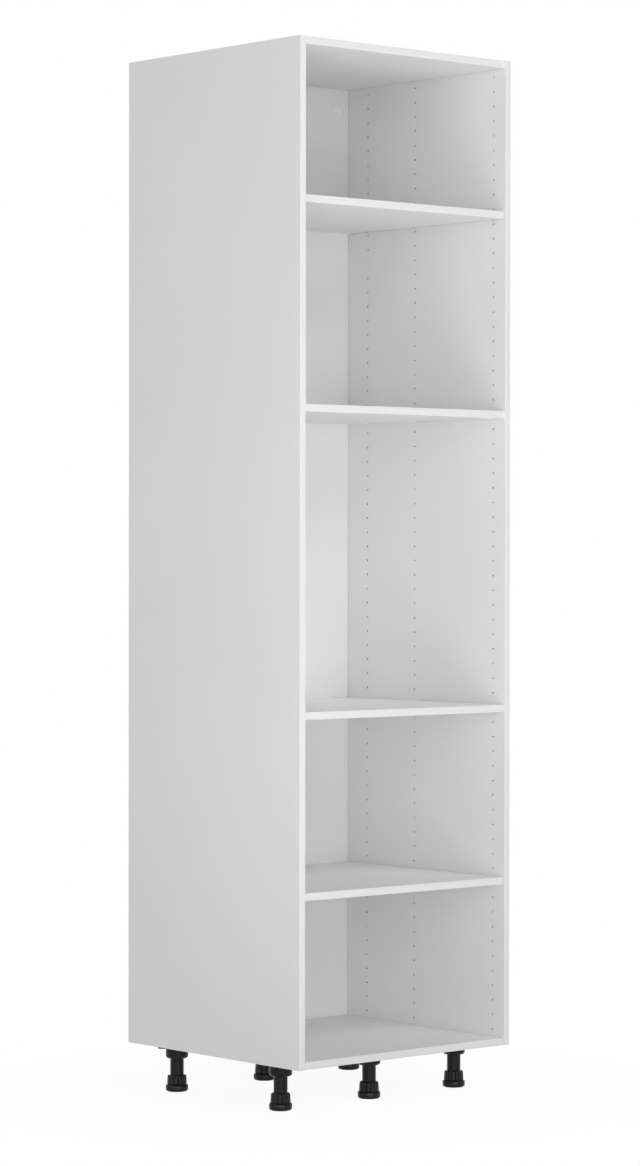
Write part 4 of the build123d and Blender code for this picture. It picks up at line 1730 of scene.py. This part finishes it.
@dataclass
class Studio:
    """White surroundings, a pale floor and the camera of the photograph, under the lamps."""

    camera_place: tuple[float, float, float] = (-5.057172, -5.918269, 1.184479)
    yaw: float = 41.8233
    pitch: float = 0.574
    roll: float = 0.083
    image: tuple[float, float] = (640.0, 1166.0)
    focal_pixels: float = 3561.561
    axis_pixel: tuple[float, float] = (400.316, 583.546)
    sensor: float = 36.0
    sight: float = 200.0
    surround: float = 0.2
    floor_half: float = 30.0
    floor_level: float = -0.0002
    floor_tone: float = 0.94
    drift_scale: float = 0.8
    drift_change: float = 0.01
    fade: tuple[float, float] = (0.3, 0.9)
    near_white: float = 0.94

    def build(self) -> None:
        """Builds the surroundings, the floor, the lamps and the camera."""
        bpy.context.scene.view_settings.view_transform = "Standard"
        self.world()
        self.floor()
        for lamp in LAMPS:
            lamp.hang()
        self.camera()
        LOG.info("studio: world, floor, %d lamps and camera", len(LAMPS))

    def seen(self, sheet: NodeSheet) -> dict[str, NodeSocket]:
        """Light Path's shares of camera rays, and of glossy and transmission rays."""
        path = sheet.add("ShaderNodeLightPath").outputs
        mirrored = sheet.math("MAXIMUM", path["Is Glossy Ray"], path["Is Transmission Ray"])
        return {"camera": path["Is Camera Ray"], "mirrored": mirrored}

    def world(self) -> None:
        """Makes the surroundings white to look at and softly grey as a light."""
        world = bpy.data.worlds.new("studio")
        bpy.context.scene.world = world
        world.use_nodes = True
        world.node_tree.nodes.clear()
        sheet = NodeSheet(world.node_tree)
        light = sheet.add("ShaderNodeBackground", {"Color": full((1.0, 1.0, 1.0)), "Strength": self.surround})
        white = sheet.add("ShaderNodeBackground", {"Color": full((1.0, 1.0, 1.0)), "Strength": 1.0})
        rays = self.seen(sheet)
        share = sheet.math("MAXIMUM", rays["camera"], rays["mirrored"])
        mixed = sheet.add("ShaderNodeMixShader", {0: share, 1: light.outputs[0], 2: white.outputs[0]})
        sheet.add("ShaderNodeOutputWorld", {"Surface": mixed.outputs[0]})

    def floor(self) -> None:
        """Lays a pale floor that keeps a faint shadow near the cabinet and is white further out."""
        form, half = Form(), self.floor_half
        form.face([Vector((*corner, self.floor_level)) for corner in rectangle(-half, -half, half, half)])
        mesh = bpy.data.meshes.new("floor")
        form.mesh_data.to_mesh(mesh)
        form.mesh_data.free()
        material = bpy.data.materials.new("pale floor")
        material.use_nodes = True
        material.node_tree.nodes.clear()
        sheet = NodeSheet(material.node_tree)
        tone = full((self.floor_tone,) * 3)
        values = {"Colour": tone, "Scale": self.drift_scale, "Change": self.drift_change}
        matt = sheet.add("ShaderNodeBsdfDiffuse", {"Color": ToneDrift().place(sheet, values)["Colour"]})
        white = sheet.add("ShaderNodeEmission", {"Color": full((1.0, 1.0, 1.0)), "Strength": 1.0})
        length = sheet.add("ShaderNodeVectorMath", {0: object_place(sheet)}, operation="LENGTH")
        inputs = {"Value": length.outputs["Value"], "From Min": self.fade[0], "From Max": self.fade[1]}
        inputs |= {"To Min": self.near_white, "To Max": 1.0}
        far = sheet.add("ShaderNodeMapRange", inputs, interpolation_type="SMOOTHSTEP").outputs[0]
        rays = self.seen(sheet)
        share = sheet.math("MAXIMUM", sheet.math("MULTIPLY", rays["camera"], far), rays["mirrored"])
        mixed = sheet.add("ShaderNodeMixShader", {0: share, 1: matt.outputs[0], 2: white.outputs[0]})
        sheet.add("ShaderNodeOutputMaterial", {"Surface": mixed.outputs[0]})
        mesh.materials.append(material)
        floor = bpy.data.objects.new("studio_floor", mesh)
        bpy.context.scene.collection.objects.link(floor)

    def camera(self) -> None:
        """Sets the camera where the photograph was taken from."""
        yaw, pitch, roll = (math.radians(angle) for angle in (self.yaw, self.pitch, self.roll))
        ahead = Vector((math.sin(yaw) * math.cos(pitch), math.cos(yaw) * math.cos(pitch), -math.sin(pitch)))
        level = Vector((math.cos(yaw), -math.sin(yaw), 0.0))
        above = level.cross(ahead)
        right = math.cos(roll) * level + math.sin(roll) * above
        up = math.cos(roll) * above - math.sin(roll) * level
        data = bpy.data.cameras.new("camera")
        width, height = self.image
        data.sensor_width = self.sensor
        data.lens = self.focal_pixels / height * self.sensor
        data.shift_x = (width / 2 - self.axis_pixel[0]) / height
        data.shift_y = (self.axis_pixel[1] - height / 2) / height
        data.clip_end = self.sight
        camera = bpy.data.objects.new("camera", data)
        bpy.context.scene.collection.objects.link(camera)
        turn = Matrix((right, up, -ahead)).transposed().to_4x4()
        camera.matrix_world = Matrix.Translation(self.camera_place) @ turn
        bpy.context.scene.camera = camera


@dataclass
class Dowels:
    """Glued dowels, hidden in the joints; the CAD shape stays."""

    def build(self) -> None:
        """Gives the dowels their wood."""
        node = frame["nodes"]["dowels"]
        for slot in node.material_slots:
            slot.material = Surface.BEECH.material
        LOG.info("dowels: kept, in beech")


def main() -> None:
    """Builds the studio and every piece of the cabinet in order."""
    logging.basicConfig(level=logging.INFO, format="%(message)s")
    Studio().build()
    holes, fittings, relief = HoleRows(), FittingRows(), TurnedRelief()
    for name in SIDES:
        SidePanel(name).build(holes)
        EdgeBand(f"front_band_{name}", f"edge_band_{name}").build()
    Board("top_board", "top_panel", Groove.BELOW).build()
    Board("bottom_board", "bottom_panel", Groove.ABOVE).build()
    BackPanel().build()
    for level in ("upper", "lower"):
        FixedShelf(f"shelf_fixed_{level}", f"fixed_shelf_{level}").build()
        Board(f"shelf_loose_{level}", f"loose_shelf_{level}", edges=Skin.COATED).build()
        Connectors(level).build(fittings)
        ShelfPins(level).build(fittings)
    shelves = [f"{kind}_shelf_{level}" for kind in ("fixed", "loose") for level in ("upper", "lower")]
    for part in ("top", "bottom", *shelves):
        EdgeBand(f"front_band_{part}", f"edge_band_{part}").build()
    for name in SIDES:
        AccessCap(name).build()
        hanger = Hanger(name)
        hanger.case()
        hanger.hook()
        hanger.screw(relief)
    HangerScrews().build(fittings)
    feet = [Foot(f"{row}_{column}") for row in ("front", "rear") for column in ("left", "middle", "right")]
    for foot in feet:
        foot.build(relief)
    FootScrews().build(fittings, feet)
    Dowels().build()


if __name__ == "__main__":
    main()
